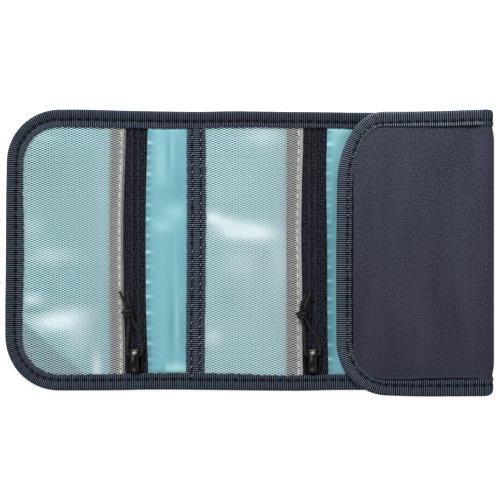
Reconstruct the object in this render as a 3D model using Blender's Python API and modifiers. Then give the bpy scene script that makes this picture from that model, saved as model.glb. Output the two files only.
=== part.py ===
# Memory card wallet, lying open on its back with its right-hand flap folded over.
#
# Metres, +Z up. The floor is z = 0, +X runs along the opened wallet and +Y towards its top edge.
# The origin is the middle of the whole outline, on the floor.
# A left panel folds over a wider centre panel, and a flap folds over from the right. Both panels hold a
# mesh pocket with a lengthwise zip, a lining strip beside it and a stiffener board behind, all edged with
# a folded ribbon.
import math

import bmesh
import bpy
from mathutils import Vector

# Driving dimensions of the outline

panel_height = 0.1200
left_panel_width = 0.0817
centre_panel_width = 0.12285
flap_edge_from_zip = 0.0104
flap_extra_height = 0.0016
flap_drop = 0.0010
left_corner_radius = 0.0228
flap_top_corner_width = 0.0195
flap_top_corner_height = 0.0320
flap_bottom_corner_width = 0.0210
flap_bottom_corner_height = 0.0228
flap_clearance = 0.0005

# Thicknesses of the layers, from the floor up, and the gap that keeps two layers apart

cloth_gap = 0.00025
shell_thickness = 0.0005
board_thickness = 0.0008
lining_thickness = 0.00025
coil_thickness = 0.00085
tape_thickness = 0.0004
mesh_thickness = 0.0003
divider_thickness = 0.0004
patch_thickness = 0.0004

# The ribbon that edges every panel

binding_width = 0.0071
binding_thickness = 0.0004
binding_round = 0.0008
fold_web_depth = 0.0036
fold_lead = 0.0006

# The zips, measured sideways from the fold between the two panels

left_zip_from_fold = 0.0263
centre_zip_from_fold = 0.0498
zip_slit = 0.0012
tape_width = 0.0115
coil_width = 0.0020
coil_end_gap = 0.0010
pocket_edge_from_zip = 0.0047
left_strip_from_zip = 0.0042
centre_strip_from_zip = 0.0052

# The fold between the panels, and the fold behind the flap

divider_width = 0.0080
sewn_width = 0.0015
left_fold_width = 0.0092
left_fold_rise = 0.00225
flap_axis_out = 0.0056

# The hook and loop closure

patch_margin = 0.0008
hook_width = 0.0140
loop_width = 0.0180
patch_end_inset = 0.0220
patch_corner = 0.0030

# The zip sliders

slider_length = 0.0104
slider_width = 0.0076
slider_narrow_width = 0.0058
slider_plate_thickness = 0.0009
slider_plate_taper = 0.0030
slider_end_gap = 0.0002
crown_width = 0.0042
crown_height = 0.0031
tunnel_length = 0.0078
tunnel_height = 0.0020
slider_edge_round = 0.00022
guide_width = 0.0007
guide_length = 0.0030

# The cord pulls

cord_diameter = 0.0013
cord_clearance = 0.0002
knot_turns = 2
knot_pitch = 0.0015
knot_clearance = 0.00008

# How finely the round shapes are cut

corner_steps = 10
edge_round_steps = 3
fold_steps = 16
crown_steps = 14
crown_power = 3.0
cord_steps = 5
turn_steps = 12

# Heights of the layers of an opened panel

shell_z = binding_thickness + cloth_gap
board_z = shell_z + shell_thickness + cloth_gap
lining_z = board_z + board_thickness + cloth_gap
coil_z = lining_z + lining_thickness + cloth_gap
tape_z = coil_z + coil_thickness + cloth_gap
mesh_z = tape_z + tape_thickness + cloth_gap
mesh_top_z = mesh_z + mesh_thickness
divider_z = mesh_top_z + cloth_gap
panel_thickness = divider_z + binding_thickness
edge_inset = binding_thickness + cloth_gap

# Heights of the layers of the folded flap, whose lining faces down

flap_z = panel_thickness + flap_clearance
flap_lining_z = flap_z + binding_thickness + cloth_gap
flap_board_z = flap_lining_z + lining_thickness + cloth_gap
flap_shell_z = flap_board_z + board_thickness + cloth_gap
flap_thickness = flap_shell_z + shell_thickness + cloth_gap + binding_thickness - flap_z
flap_top_z = flap_z + flap_thickness
right_fold_z = flap_top_z / 2

# Places along X and Y

flap_height = panel_height + flap_extra_height
patch_length = panel_height - 2 * patch_end_inset
total_width = left_panel_width + centre_panel_width + right_fold_z
left_edge_x = -total_width / 2
fold_x = left_edge_x + left_panel_width
right_fold_x = fold_x + centre_panel_width
left_fold_low_x = fold_x - left_fold_width / 2
left_fold_high_x = fold_x + left_fold_width / 2
lowest_y = -flap_height / 2 - flap_drop
panel_y = (-lowest_y - panel_height / 2) / 2
flap_y = panel_y - flap_drop
bottom_y = panel_y - panel_height / 2
top_y = panel_y + panel_height / 2
left_zip_x = fold_x - left_zip_from_fold
centre_zip_x = fold_x + centre_zip_from_fold
flap_edge_x = centre_zip_x + flap_edge_from_zip

# Joint axes

left_hinge = Vector((fold_x, panel_y, panel_thickness + left_fold_rise))
flap_hinge = Vector((right_fold_x + flap_axis_out, flap_y, right_fold_z))
plate_z = tape_z + tape_thickness + cloth_gap
crown_z = plate_z + slider_plate_thickness
slider_y = bottom_y + binding_width + slider_end_gap + slider_length / 2
pull_offset_y = tunnel_length / 2 - cord_diameter - cord_clearance
pull_z = crown_z + cord_clearance + cord_diameter / 2


# Materials

def material(name, colour, roughness, metallic=0.0):
    made = bpy.data.materials.new(name)
    made.use_nodes = True
    shader = made.node_tree.nodes["Principled BSDF"]
    shader.inputs["Base Color"].default_value = (*colour, 1.0)
    shader.inputs["Roughness"].default_value = roughness
    shader.inputs["Metallic"].default_value = metallic
    return made


def make_materials():
    """The wallet's finishes, each by its name."""
    return {
        "shell_cloth": material("shell_cloth", (0.044, 0.047, 0.069), 0.85),
        "edge_ribbon": material("edge_ribbon", (0.032, 0.042, 0.058), 0.75),
        "zip_tape": material("zip_tape", (0.014, 0.016, 0.022), 0.80),
        "coil_nylon": material("coil_nylon", (0.012, 0.013, 0.016), 0.45),
        "satin_lining": material("satin_lining", (0.205, 0.485, 0.545), 0.40),
        "pocket_mesh": material("pocket_mesh", (0.420, 0.520, 0.520), 0.65),
        "board": material("board", (0.300, 0.300, 0.300), 0.60),
        "hook_tape": material("hook_tape", (0.015, 0.016, 0.020), 0.90),
        "slider_metal": material("slider_metal", (0.020, 0.019, 0.016), 0.25, 1.0),
        "pull_cord": material("pull_cord", (0.012, 0.012, 0.010), 0.80),
    }


# Helpers that make one kind of shape each

def empty_at(name, place, parent=None):
    """An empty on a joint's axis, which carries one moving body."""
    made = bpy.data.objects.new(name, None)
    made.location = place
    bpy.context.scene.collection.objects.link(made)
    if parent is not None:
        made.parent = parent
        bpy.context.view_layer.update()
        made.matrix_parent_inverse = parent.matrix_world.inverted()
    return made


def finish_piece(made, finish, carrier):
    """Give a piece its material and hang it on its body's empty, where it already stands."""
    made.data.materials.append(finish)
    for home in list(made.users_collection):
        home.objects.unlink(made)
    parts_collection.objects.link(made)
    bpy.context.view_layer.update()
    made.parent = carrier
    made.matrix_parent_inverse = carrier.matrix_world.inverted()
    return made


def box(name, low, high, finish, carrier):
    """A flat rectangular piece between two corners."""
    low, high = Vector(low), Vector(high)
    bpy.ops.mesh.primitive_cube_add(size=1.0, location=(low + high) / 2)
    made = bpy.context.active_object
    made.name = name
    made.scale = high - low
    bpy.ops.object.transform_apply(location=False, rotation=False, scale=True)
    return finish_piece(made, finish, carrier)


def arc(centre, across, along, start, end, steps):
    """Points of an elliptic arc in the plane, by its centre, its two half-axes and its two angles."""
    turns = [start + (end - start) * i / steps for i in range(steps + 1)]
    return [(centre[0] + across * math.cos(t), centre[1] + along * math.sin(t)) for t in turns]


def flat_curve(name, outlines, thickness):
    """A filled outline, with any holes, of a given thickness about its own plane."""
    shape = bpy.data.curves.new(name, "CURVE")
    shape.dimensions = "2D"
    shape.fill_mode = "BOTH"
    shape.extrude = thickness / 2
    for points in outlines:
        spline = shape.splines.new("POLY")
        spline.points.add(len(points) - 1)
        for point, (x, y) in zip(spline.points, points):
            point.co = (x, y, 0, 1)
        spline.use_cyclic_u = True
    made = bpy.data.objects.new(name, shape)
    bpy.context.scene.collection.objects.link(made)
    return made


def sheet(name, outline, low_z, thickness, finish, carrier):
    """A flat layer with a given outline, from a given height up."""
    made = flat_curve(name, [outline], thickness)
    made.location.z = low_z + thickness / 2
    return finish_piece(made, finish, carrier)


def swept(name, path, section, finish, carrier, upright=False, centre=(0, 0, 0)):
    """A closed section carried along a plane path. The section's first number runs inwards from the path,
    on the right of the way it goes, and its second runs out of the plane. An upright path stands in the XZ
    plane, and its section's second number then runs towards -Y."""
    guide = flat_curve(name + "_section", [section], 0)
    guide.data.fill_mode = "NONE"
    guide.hide_render = True
    guide.display_type = "WIRE"
    for home in list(guide.users_collection):
        home.objects.unlink(guide)
    guides_collection.objects.link(guide)
    shape = bpy.data.curves.new(name, "CURVE")
    shape.dimensions = "2D"
    shape.bevel_mode = "OBJECT"
    shape.bevel_object = guide
    shape.use_fill_caps = True
    spline = shape.splines.new("POLY")
    spline.points.add(len(path) - 1)
    for point, (x, y) in zip(spline.points, path):
        point.co = (x, y, 0, 1)
    made = bpy.data.objects.new(name, shape)
    made.location = centre
    if upright:
        made.rotation_euler.x = math.pi / 2
    bpy.context.scene.collection.objects.link(made)
    return finish_piece(made, finish, carrier)


def as_mesh(source):
    """A curve or modified object made one welded mesh object, which takes its place."""
    bpy.context.view_layer.update()
    evaluated = source.evaluated_get(bpy.context.evaluated_depsgraph_get())
    data = bpy.data.meshes.new_from_object(evaluated)
    bm = bmesh.new()
    bm.from_mesh(data)
    bmesh.ops.remove_doubles(bm, verts=bm.verts, dist=weld_distance)
    bm.to_mesh(data)
    bm.free()
    made = bpy.data.objects.new(source.name, data)
    made.matrix_world = source.matrix_world.copy()
    bpy.context.scene.collection.objects.link(made)
    name = source.name
    bpy.data.objects.remove(source)
    made.name = name
    return made


def soften(made):
    """Round a slider piece's sharp edges."""
    rounding = made.modifiers.new("rounded_edges", "BEVEL")
    rounding.width = slider_edge_round
    rounding.segments = 2
    rounding.limit_method = "ANGLE"
    rounding.angle_limit = math.radians(60)


def join_solid(base, added):
    """Union a second solid into the first, and keep the second out of the model."""
    added.hide_render = True
    added.display_type = "WIRE"
    for home in list(added.users_collection):
        home.objects.unlink(added)
    guides_collection.objects.link(added)
    union = base.modifiers.new("union", "BOOLEAN")
    union.operation = "UNION"
    union.object = added


weld_distance = cloth_gap / 100


# Outlines

def left_outline(inset, right_x):
    """The left panel's outline, drawn in from its outer edge, as far as a given place on the right."""
    radius = left_corner_radius - inset
    x = left_edge_x + left_corner_radius
    low = (x, bottom_y + left_corner_radius)
    high = (x, top_y - left_corner_radius)
    return (
        [(right_x, bottom_y + inset)]
        + arc(low, radius, radius, -math.pi / 2, -math.pi, corner_steps)
        + arc(high, radius, radius, math.pi, math.pi / 2, corner_steps)
        + [(right_x, top_y - inset)]
    )


def flap_outline(inset, right_x):
    """The folded flap's outline, drawn in from its outer edge. Its free edge is on the left."""
    low_y = flap_y - flap_height / 2
    high_y = flap_y + flap_height / 2
    low = (flap_edge_x + flap_bottom_corner_width, low_y + flap_bottom_corner_height)
    high = (flap_edge_x + flap_top_corner_width, high_y - flap_top_corner_height)
    return (
        [(right_x, low_y + inset)]
        + arc(low, flap_bottom_corner_width - inset, flap_bottom_corner_height - inset,
              -math.pi / 2, -math.pi, corner_steps)
        + arc(high, flap_top_corner_width - inset, flap_top_corner_height - inset,
              math.pi, math.pi / 2, corner_steps)
        + [(right_x, high_y - inset)]
    )


def rectangle(low_x, high_x, inset):
    """A rectangle between two places along X, drawn in from the panel's top and bottom edges."""
    return [
        (low_x, bottom_y + inset),
        (low_x, top_y - inset),
        (high_x, top_y - inset),
        (high_x, bottom_y + inset),
    ]


def folded_section(thickness):
    """The edge ribbon's section: two legs joined round the outer edge, whose corners are rounded."""
    inner_round = binding_round - binding_thickness
    low = (binding_round, binding_round)
    high = (binding_round, thickness - binding_round)
    quarter = math.pi / 2
    return (
        [(binding_width, 0)]
        + arc(low, binding_round, binding_round, -quarter, -2 * quarter, edge_round_steps)
        + arc(high, binding_round, binding_round, 2 * quarter, quarter, edge_round_steps)
        + [(binding_width, thickness), (binding_width, thickness - binding_thickness)]
        + arc(high, inner_round, inner_round, quarter, 2 * quarter, edge_round_steps)
        + arc(low, inner_round, inner_round, -2 * quarter, -quarter, edge_round_steps)
        + [(binding_width, binding_thickness)]
    )


# The panels' layers

def make_panel_layers(looks, left_panel, wallet):
    """Shell, stiffener board and lining of the two opened panels."""
    left_end = left_fold_low_x - cloth_gap
    right_end = right_fold_x - cloth_gap
    for part, low_z, thickness, finish in [
        ("shell", shell_z, shell_thickness, "shell_cloth"),
        ("board", board_z, board_thickness, "board"),
        ("lining", lining_z, lining_thickness, "satin_lining"),
    ]:
        outline = left_outline(edge_inset, left_end)
        sheet(part + "_left", outline, low_z, thickness, looks[finish], left_panel)
        outline = rectangle(left_fold_high_x, right_end, edge_inset)
        sheet(part + "_centre", outline, low_z, thickness, looks[finish], wallet)


def make_zip(side, zip_x, looks, carrier):
    """The two halves of one zip: a woven tape on each side of the slit, with its coil sewn underneath."""
    coil_inset = binding_width + coil_end_gap
    half_slit = zip_slit / 2
    for half, way in [("pocket", -1), ("strip", 1)]:
        inner = zip_x + way * half_slit
        outer = inner + way * tape_width
        low_x, high_x = sorted((inner, outer))
        box(
            f"zip_tape_{side}_{half}",
            (low_x, bottom_y + edge_inset, tape_z),
            (high_x, top_y - edge_inset, tape_z + tape_thickness),
            looks["zip_tape"], carrier,
        )
        low_x, high_x = sorted((inner, inner + way * coil_width))
        box(
            f"zip_coil_{side}_{half}",
            (low_x, bottom_y + coil_inset, coil_z),
            (high_x, top_y - coil_inset, coil_z + coil_thickness),
            looks["coil_nylon"], carrier,
        )


def make_pockets(looks, left_panel, wallet):
    """The mesh pockets and the lining strips on the far side of each zip."""
    sewn_from = divider_width / 2 - sewn_width
    sheet(
        "mesh_pocket_left", left_outline(edge_inset, left_zip_x - pocket_edge_from_zip),
        mesh_z, mesh_thickness, looks["pocket_mesh"], left_panel,
    )
    sheet(
        "lining_strip_left",
        rectangle(left_zip_x + left_strip_from_zip, fold_x - sewn_from, edge_inset),
        mesh_z, mesh_thickness, looks["satin_lining"], left_panel,
    )
    sheet(
        "mesh_pocket_centre",
        rectangle(fold_x + sewn_from, centre_zip_x - pocket_edge_from_zip, edge_inset),
        mesh_z, mesh_thickness, looks["pocket_mesh"], wallet,
    )
    sheet(
        "lining_strip_centre",
        rectangle(centre_zip_x + centre_strip_from_zip, right_fold_x - cloth_gap, edge_inset),
        mesh_z, mesh_thickness, looks["satin_lining"], wallet,
    )


def make_bindings(looks, left_panel, flap, wallet):
    """The ribbon round each panel's edge, as far as the folds."""
    ribbon = looks["edge_ribbon"]
    section = folded_section(panel_thickness)
    swept("binding_left", left_outline(0, left_fold_low_x - cloth_gap), section, ribbon, left_panel)
    low_x, high_x = left_fold_high_x, right_fold_x - cloth_gap
    swept("binding_centre_bottom", [(high_x, bottom_y), (low_x, bottom_y)], section, ribbon, wallet)
    swept("binding_centre_top", [(low_x, top_y), (high_x, top_y)], section, ribbon, wallet)
    swept(
        "binding_flap", flap_outline(0, right_fold_x - cloth_gap),
        folded_section(flap_thickness), ribbon, flap, centre=(0, 0, flap_z),
    )


def make_left_fold(looks, wallet):
    """What bends between the two panels: shell, lining, the sewn-on divider tape and the edge ribbon."""
    low_x = left_fold_low_x
    high_x = left_fold_high_x - cloth_gap
    sheet(
        "fold_shell_left", rectangle(low_x, high_x, edge_inset),
        shell_z, shell_thickness, looks["shell_cloth"], wallet,
    )
    sheet(
        "fold_lining_left", rectangle(low_x, high_x, edge_inset),
        lining_z, lining_thickness, looks["satin_lining"], wallet,
    )
    sheet(
        "divider_tape",
        rectangle(fold_x - divider_width / 2, fold_x + divider_width / 2, binding_width + cloth_gap),
        divider_z, divider_thickness, looks["edge_ribbon"], wallet,
    )
    section = folded_section(panel_thickness)
    ribbon = looks["edge_ribbon"]
    swept("fold_binding_left_bottom", [(high_x, bottom_y), (low_x, bottom_y)], section, ribbon, wallet)
    swept("fold_binding_left_top", [(low_x, top_y), (high_x, top_y)], section, ribbon, wallet)


def half_ring(outer, inner):
    """Half a ring, open to the left, about the middle of the right-hand fold."""
    quarter = math.pi / 2
    return (
        arc((0, 0), outer, outer, -quarter, quarter, fold_steps)
        + arc((0, 0), inner, inner, quarter, -quarter, fold_steps)
    )


def make_right_fold(looks, wallet):
    """What bends round behind the flap: shell, lining and edge ribbon, each half a turn."""
    length = panel_height - 2 * edge_inset
    for name, low_z, thickness, finish in [
        ("fold_shell_right", shell_z, shell_thickness, "shell_cloth"),
        ("fold_lining_right", lining_z, lining_thickness, "satin_lining"),
    ]:
        outer = right_fold_z - low_z
        made = flat_curve(name, [half_ring(outer, outer - thickness)], length)
        made.rotation_euler.x = math.pi / 2
        made.location = (right_fold_x, (panel_y + flap_y) / 2, right_fold_z)
        finish_piece(made, looks[finish], wallet)
    quarter = math.pi / 2
    bend = arc((fold_lead, 0), right_fold_z - fold_lead, right_fold_z, quarter, -quarter, fold_steps)
    path = [(0, right_fold_z)] + bend + [(0, -right_fold_z)]
    edge_y = (panel_height + flap_height) / 4
    middle_y = (panel_y + flap_y) / 2
    for name, way in [("fold_binding_right_top", 1), ("fold_binding_right_bottom", -1)]:
        section = [
            (0, 0),
            (0, way * binding_width),
            (binding_thickness, way * binding_width),
            (binding_thickness, way * binding_thickness),
            (fold_web_depth, way * binding_thickness),
            (fold_web_depth, 0),
        ]
        swept(
            name, path, section[::way], looks["edge_ribbon"], wallet,
            upright=True, centre=(right_fold_x, middle_y + way * edge_y, right_fold_z),
        )


def make_flap(looks, flap):
    """The flap's lining, board and shell, which lie lining down over the centre panel."""
    end = right_fold_x - cloth_gap
    for name, low_z, thickness, finish in [
        ("lining_flap", flap_lining_z, lining_thickness, "satin_lining"),
        ("board_flap", flap_board_z, board_thickness, "board"),
        ("shell_flap", flap_shell_z, shell_thickness, "shell_cloth"),
    ]:
        sheet(name, flap_outline(edge_inset, end), low_z, thickness, looks[finish], flap)


def patch_outline(low_x, width, middle_y):
    """A patch with rounded corners, standing lengthwise."""
    quarter = math.pi / 2
    high_x = low_x + width
    low_y = middle_y - patch_length / 2
    high_y = middle_y + patch_length / 2
    points = []
    for x, y, start in [
        (high_x - patch_corner, high_y - patch_corner, 0),
        (low_x + patch_corner, high_y - patch_corner, quarter),
        (low_x + patch_corner, low_y + patch_corner, 2 * quarter),
        (high_x - patch_corner, low_y + patch_corner, 3 * quarter),
    ]:
        points += arc((x, y), patch_corner, patch_corner, start, start + quarter, edge_round_steps)
    return points


def make_closure(looks, left_panel, flap):
    """The hook patch under the flap's free edge, and the loop patch on the left panel's back."""
    from_edge = binding_width + patch_margin
    sheet(
        "hook_patch", patch_outline(flap_edge_x + from_edge, hook_width, flap_y),
        flap_lining_z - cloth_gap - patch_thickness, patch_thickness, looks["hook_tape"], flap,
    )
    sheet(
        "loop_patch", patch_outline(left_edge_x + from_edge, loop_width, panel_y),
        shell_z - cloth_gap - patch_thickness, patch_thickness, looks["hook_tape"], left_panel,
    )


# The zip sliders

def hump(half_length, height, base):
    """A rounded arch outline, with its feet on a flat base line."""
    points = []
    for i in range(crown_steps + 1):
        turn = math.pi * i / crown_steps
        along, up = math.cos(turn), math.sin(turn)
        share = (abs(along) ** crown_power + up ** crown_power) ** (-1 / crown_power)
        points.append((half_length * along * share, base + height * up * share))
    return points


def make_slider(side, zip_x, looks, carrier):
    """One slider: a tapered plate on the tape, an arched crown for the cord, and a guide in the slit."""
    half_long = slider_length / 2
    half_wide = slider_width / 2
    half_narrow = slider_narrow_width / 2
    taper_y = half_long - slider_plate_taper
    plate = flat_curve(
        f"slider_{side}",
        [[
            (-half_narrow, half_long), (-half_wide, taper_y), (-half_wide, -taper_y),
            (-half_narrow, -half_long), (half_narrow, -half_long), (half_wide, -taper_y),
            (half_wide, taper_y), (half_narrow, half_long),
        ]],
        slider_plate_thickness,
    )
    plate.location = (zip_x, slider_y, plate_z + slider_plate_thickness / 2)
    plate = as_mesh(plate)
    sunk = slider_plate_thickness / 2
    crown = flat_curve(
        f"slider_{side}_crown",
        [
            hump(half_long, crown_height, 0) + [(-half_long, -sunk), (half_long, -sunk)],
            hump(tunnel_length / 2, tunnel_height, 0)[::-1],
        ],
        crown_width,
    )
    crown.rotation_euler = (math.pi / 2, 0, math.pi / 2)
    crown.location = (zip_x, slider_y, crown_z)
    crown = as_mesh(crown)
    guide_low_z = coil_z
    guide_high_z = plate_z + sunk
    bpy.ops.mesh.primitive_cube_add(
        size=1.0,
        location=(zip_x, slider_y - half_long + guide_length, (guide_low_z + guide_high_z) / 2),
    )
    guide = bpy.context.active_object
    guide.name = f"slider_{side}_guide"
    guide.scale = (guide_width, guide_length, guide_high_z - guide_low_z)
    bpy.ops.object.transform_apply(location=False, rotation=False, scale=True)
    soften(plate)
    soften(crown)
    join_solid(plate, crown)
    join_solid(plate, guide)
    return finish_piece(plate, looks["slider_metal"], carrier)


# The cord pulls. A pull is one cord: it starts at a tail, runs through the knot, down one side of the
# crown, through its tunnel, up the other side, round the first run in the knot, and out as the other tail.
# Its points are places from the middle of the tunnel: across, towards the top edge, and up.

left_run = [
    (-0.0067, 0.0280, 0.0004),
    (-0.0056, 0.0258, 0.0008),
    (-0.0045, 0.0236, 0.0012),
    (-0.0036, 0.0212, 0.0014),
    (-0.0031, 0.0190, 0.0014),
    (-0.0027, 0.0168, 0.0013),
    (-0.0023, 0.0146, 0.0009),
    (-0.0024, 0.0118, 0.0004),
    (-0.0027, 0.0088, 0.0002),
    (-0.0030, 0.0058, 0.0001),
    (-0.0032, 0.0028, 0.0000),
    (-0.0029, 0.0008, 0.0000),
    (-0.0020, 0.0000, 0.0000),
    (0.0000, 0.0000, 0.0000),
    (0.0020, 0.0000, 0.0000),
    (0.0029, 0.0008, 0.0000),
    (0.0032, 0.0028, 0.0000),
    (0.0029, 0.0060, 0.0001),
    (0.0020, 0.0090, 0.0003),
    (0.0008, 0.0118, 0.0006),
    (-0.0004, 0.0142, 0.0008),
    (-0.0011, 0.0165, 0.0004),
]
left_tail = [
    (-0.0022, 0.0219, 0.0023),
    (-0.0026, 0.0238, 0.0016),
    (-0.0030, 0.0259, 0.0009),
    (-0.0034, 0.0280, 0.0005),
]
centre_run = [
    (-0.0026, 0.0268, 0.0004),
    (-0.0034, 0.0250, 0.0008),
    (-0.0046, 0.0226, 0.0012),
    (-0.0050, 0.0202, 0.0014),
    (-0.0048, 0.0180, 0.0014),
    (-0.0045, 0.0158, 0.0013),
    (-0.0040, 0.0136, 0.0009),
    (-0.0036, 0.0112, 0.0004),
    (-0.0033, 0.0084, 0.0002),
    (-0.0031, 0.0056, 0.0001),
    (-0.0032, 0.0028, 0.0000),
    (-0.0029, 0.0008, 0.0000),
    (-0.0020, 0.0000, 0.0000),
    (0.0000, 0.0000, 0.0000),
    (0.0020, 0.0000, 0.0000),
    (0.0029, 0.0008, 0.0000),
    (0.0032, 0.0028, 0.0000),
    (0.0026, 0.0058, 0.0001),
    (0.0012, 0.0086, 0.0003),
    (-0.0004, 0.0110, 0.0006),
    (-0.0018, 0.0132, 0.0008),
    (-0.0028, 0.0154, 0.0004),
]
centre_tail = [
    (-0.0032, 0.0208, 0.0023),
    (-0.0027, 0.0226, 0.0017),
    (-0.0018, 0.0249, 0.0010),
    (-0.0010, 0.0271, 0.0006),
]


def smooth_line(points, steps):
    """More points along a smooth curve through the given ones."""
    ends = [points[0]] + points + [points[-1]]
    line = []
    for before, here, after, beyond in zip(ends, ends[1:], ends[2:], ends[3:]):
        for i in range(steps):
            t = i / steps
            line.append(tuple(
                b + (c - a) * t / 2
                + (2 * a - 5 * b + 4 * c - d) * t ** 2 / 2
                + (3 * b - a - 3 * c + d) * t ** 3 / 2
                for a, b, c, d in zip(before, here, after, beyond)
            ))
    return line + [tuple(points[-1])]


def knot_turns_about(low, high):
    """The turns of the knot, climbing round the run between two of its points."""
    low, high = Vector(low), Vector(high)
    axis = (high - low).normalized()
    side = axis.cross(Vector((0, 0, 1))).normalized()
    up = side.cross(axis)
    radius = cord_diameter + knot_clearance
    middle = (low + high) / 2
    height = knot_turns * knot_pitch
    points = []
    for i in range(knot_turns * turn_steps + 1):
        turn = 2 * math.pi * i / turn_steps
        climb = height * i / (knot_turns * turn_steps) - height / 2
        place = middle + axis * climb + (side * math.cos(turn) + up * math.sin(turn)) * radius
        points.append(tuple(place))
    return points


def make_pull(side, zip_x, run, tail, looks, carrier):
    """One cord pull, lying up its zip from the slider's crown."""
    line = smooth_line(run, cord_steps)
    knot = knot_turns_about(run[5], run[3])
    line += smooth_line([run[-1]] + knot[:1], 2)[1:-1]
    line += knot
    line += smooth_line([knot[-1]] + tail, 2)[1:]
    shape = bpy.data.curves.new(f"pull_cord_{side}", "CURVE")
    shape.dimensions = "3D"
    shape.bevel_depth = cord_diameter / 2
    shape.bevel_resolution = 1
    shape.use_fill_caps = True
    spline = shape.splines.new("POLY")
    spline.points.add(len(line) - 1)
    for point, place in zip(spline.points, line):
        point.co = (*place, 1)
    made = bpy.data.objects.new(f"pull_cord_{side}", shape)
    made.location = (zip_x, slider_y + pull_offset_y, pull_z)
    bpy.context.scene.collection.objects.link(made)
    return finish_piece(made, looks["pull_cord"], carrier)


# The whole wallet

for old in list(bpy.data.objects):
    bpy.data.objects.remove(old)

parts_collection = bpy.data.collections.new("card_wallet")
guides_collection = bpy.data.collections.new("guides")
bpy.context.scene.collection.children.link(parts_collection)
bpy.context.scene.collection.children.link(guides_collection)

looks = make_materials()
wallet = empty_at("wallet_frame", (0, 0, 0))
left_panel = empty_at("left_panel_hinge", left_hinge, wallet)
flap = empty_at("flap_hinge", flap_hinge, wallet)

make_panel_layers(looks, left_panel, wallet)
make_pockets(looks, left_panel, wallet)
make_bindings(looks, left_panel, flap, wallet)
make_left_fold(looks, wallet)
make_right_fold(looks, wallet)
make_flap(looks, flap)
make_closure(looks, left_panel, flap)

for side, zip_x, run, tail, panel in [
    ("left", left_zip_x, left_run, left_tail, left_panel),
    ("centre", centre_zip_x, centre_run, centre_tail, wallet),
]:
    make_zip(side, zip_x, looks, panel)
    slider_frame = empty_at(f"slider_{side}_frame", (zip_x, slider_y, plate_z), panel)
    make_slider(side, zip_x, looks, slider_frame)
    pull_frame = empty_at(
        f"pull_{side}_hinge", (zip_x, slider_y + pull_offset_y, pull_z), slider_frame
    )
    make_pull(side, zip_x, run, tail, looks, pull_frame)

print("left fold axis", tuple(round(v, 5) for v in left_hinge))
print("flap axis", tuple(round(v, 5) for v in flap_hinge))
print("panel thickness", round(panel_thickness, 5), "flap top", round(flap_top_z, 5))
for side, zip_x in [("left", left_zip_x), ("centre", centre_zip_x)]:
    print(side, "pull axis", round(zip_x, 5), round(slider_y + pull_offset_y, 5), round(pull_z, 5))
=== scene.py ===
# %% [markdown]
# # A memory card wallet
# The wallet lies open on its back, with its right-hand flap folded over. It is made of cloth panels that a
# ribbed ribbon binds, two mesh pockets with zips, and two knotted cord pulls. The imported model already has
# every part at its real size. This script dresses it: each cloth piece gets its own mesh with real ribs,
# holes, stitches and wrinkles, because a picture of them on a flat face would look flat from the side.

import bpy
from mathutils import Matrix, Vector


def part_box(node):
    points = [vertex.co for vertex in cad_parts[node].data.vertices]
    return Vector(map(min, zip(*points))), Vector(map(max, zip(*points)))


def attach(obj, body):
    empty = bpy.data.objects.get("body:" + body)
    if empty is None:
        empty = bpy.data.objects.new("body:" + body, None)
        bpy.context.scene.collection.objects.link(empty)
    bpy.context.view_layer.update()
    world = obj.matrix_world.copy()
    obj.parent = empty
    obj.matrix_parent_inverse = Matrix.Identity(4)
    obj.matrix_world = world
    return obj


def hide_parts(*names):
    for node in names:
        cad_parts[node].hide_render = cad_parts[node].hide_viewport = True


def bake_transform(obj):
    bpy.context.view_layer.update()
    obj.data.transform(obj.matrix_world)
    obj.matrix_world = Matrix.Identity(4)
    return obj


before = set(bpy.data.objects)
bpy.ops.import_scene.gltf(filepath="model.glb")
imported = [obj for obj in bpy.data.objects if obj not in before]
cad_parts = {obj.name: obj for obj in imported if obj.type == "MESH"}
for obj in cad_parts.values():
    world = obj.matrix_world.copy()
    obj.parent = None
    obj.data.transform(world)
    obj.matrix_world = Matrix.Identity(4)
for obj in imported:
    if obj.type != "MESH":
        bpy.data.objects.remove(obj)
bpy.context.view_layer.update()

# %% Read the places that everything else is set from
import math

import bmesh
import bpy
import numpy as np
from mathutils import Vector

panel_low, panel_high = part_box("binding_left")
flap_low, flap_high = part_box("binding_flap")
left_edge, bottom = panel_low.x, panel_low.y
top, panel_top = panel_high.y, panel_high.z
fold_low, fold_high = (corner.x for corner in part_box("fold_shell_left"))
fold_x = (fold_low + fold_high) / 2
spine_x, spine_z = flap_high.x, flap_high.z / 2
spine_low_z = 0.0024
spine_high_z = 2 * spine_z - spine_low_z
net_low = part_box("mesh_pocket_left")[0].z
tapes = {side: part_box(f"zip_tape_{side}_pocket") for side in ("left", "centre")}
zips = {side: (box[1].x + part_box(f"zip_tape_{side}_strip")[0].x) / 2 for side, box in tapes.items()}
tape_top = tapes["left"][1].z
cloth_inset = 0.0052
cloth_left = left_edge + cloth_inset
quarter = math.pi / 2
print("fold at", round(fold_x, 5), "zips at", {side: round(x, 5) for side, x in zips.items()})

# %% [markdown]
# ## Camera
# The photograph looks straight down. A camera well above the wallet, with a narrow angle, gives that view
# with almost no perspective. Its angle follows from the width that the picture covers at pocket height.

# %% Set the camera
picture_width = 0.2142
camera_height = 0.55
camera_data = bpy.data.cameras.new("camera")
camera_data.angle = 2 * math.atan(picture_width / 2 / camera_height)
camera = bpy.data.objects.new("camera", camera_data)
camera.location = (0.00014, 0.00094, panel_top + camera_height)
bpy.context.scene.collection.objects.link(camera)
bpy.context.scene.camera = camera
print("camera angle", round(math.degrees(camera_data.angle), 2))

# %% [markdown]
# ## Meshes from grids
# Cloth is a surface, so most pieces start as a grid of points that a formula bends. Whole arrays are quick
# and keep each formula short. A mesh also keeps a flat map of its cloth in metres, so that a weave has its
# true size on it however it is bent. A part is its points, faces, flat map and the number of its finish.

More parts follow.
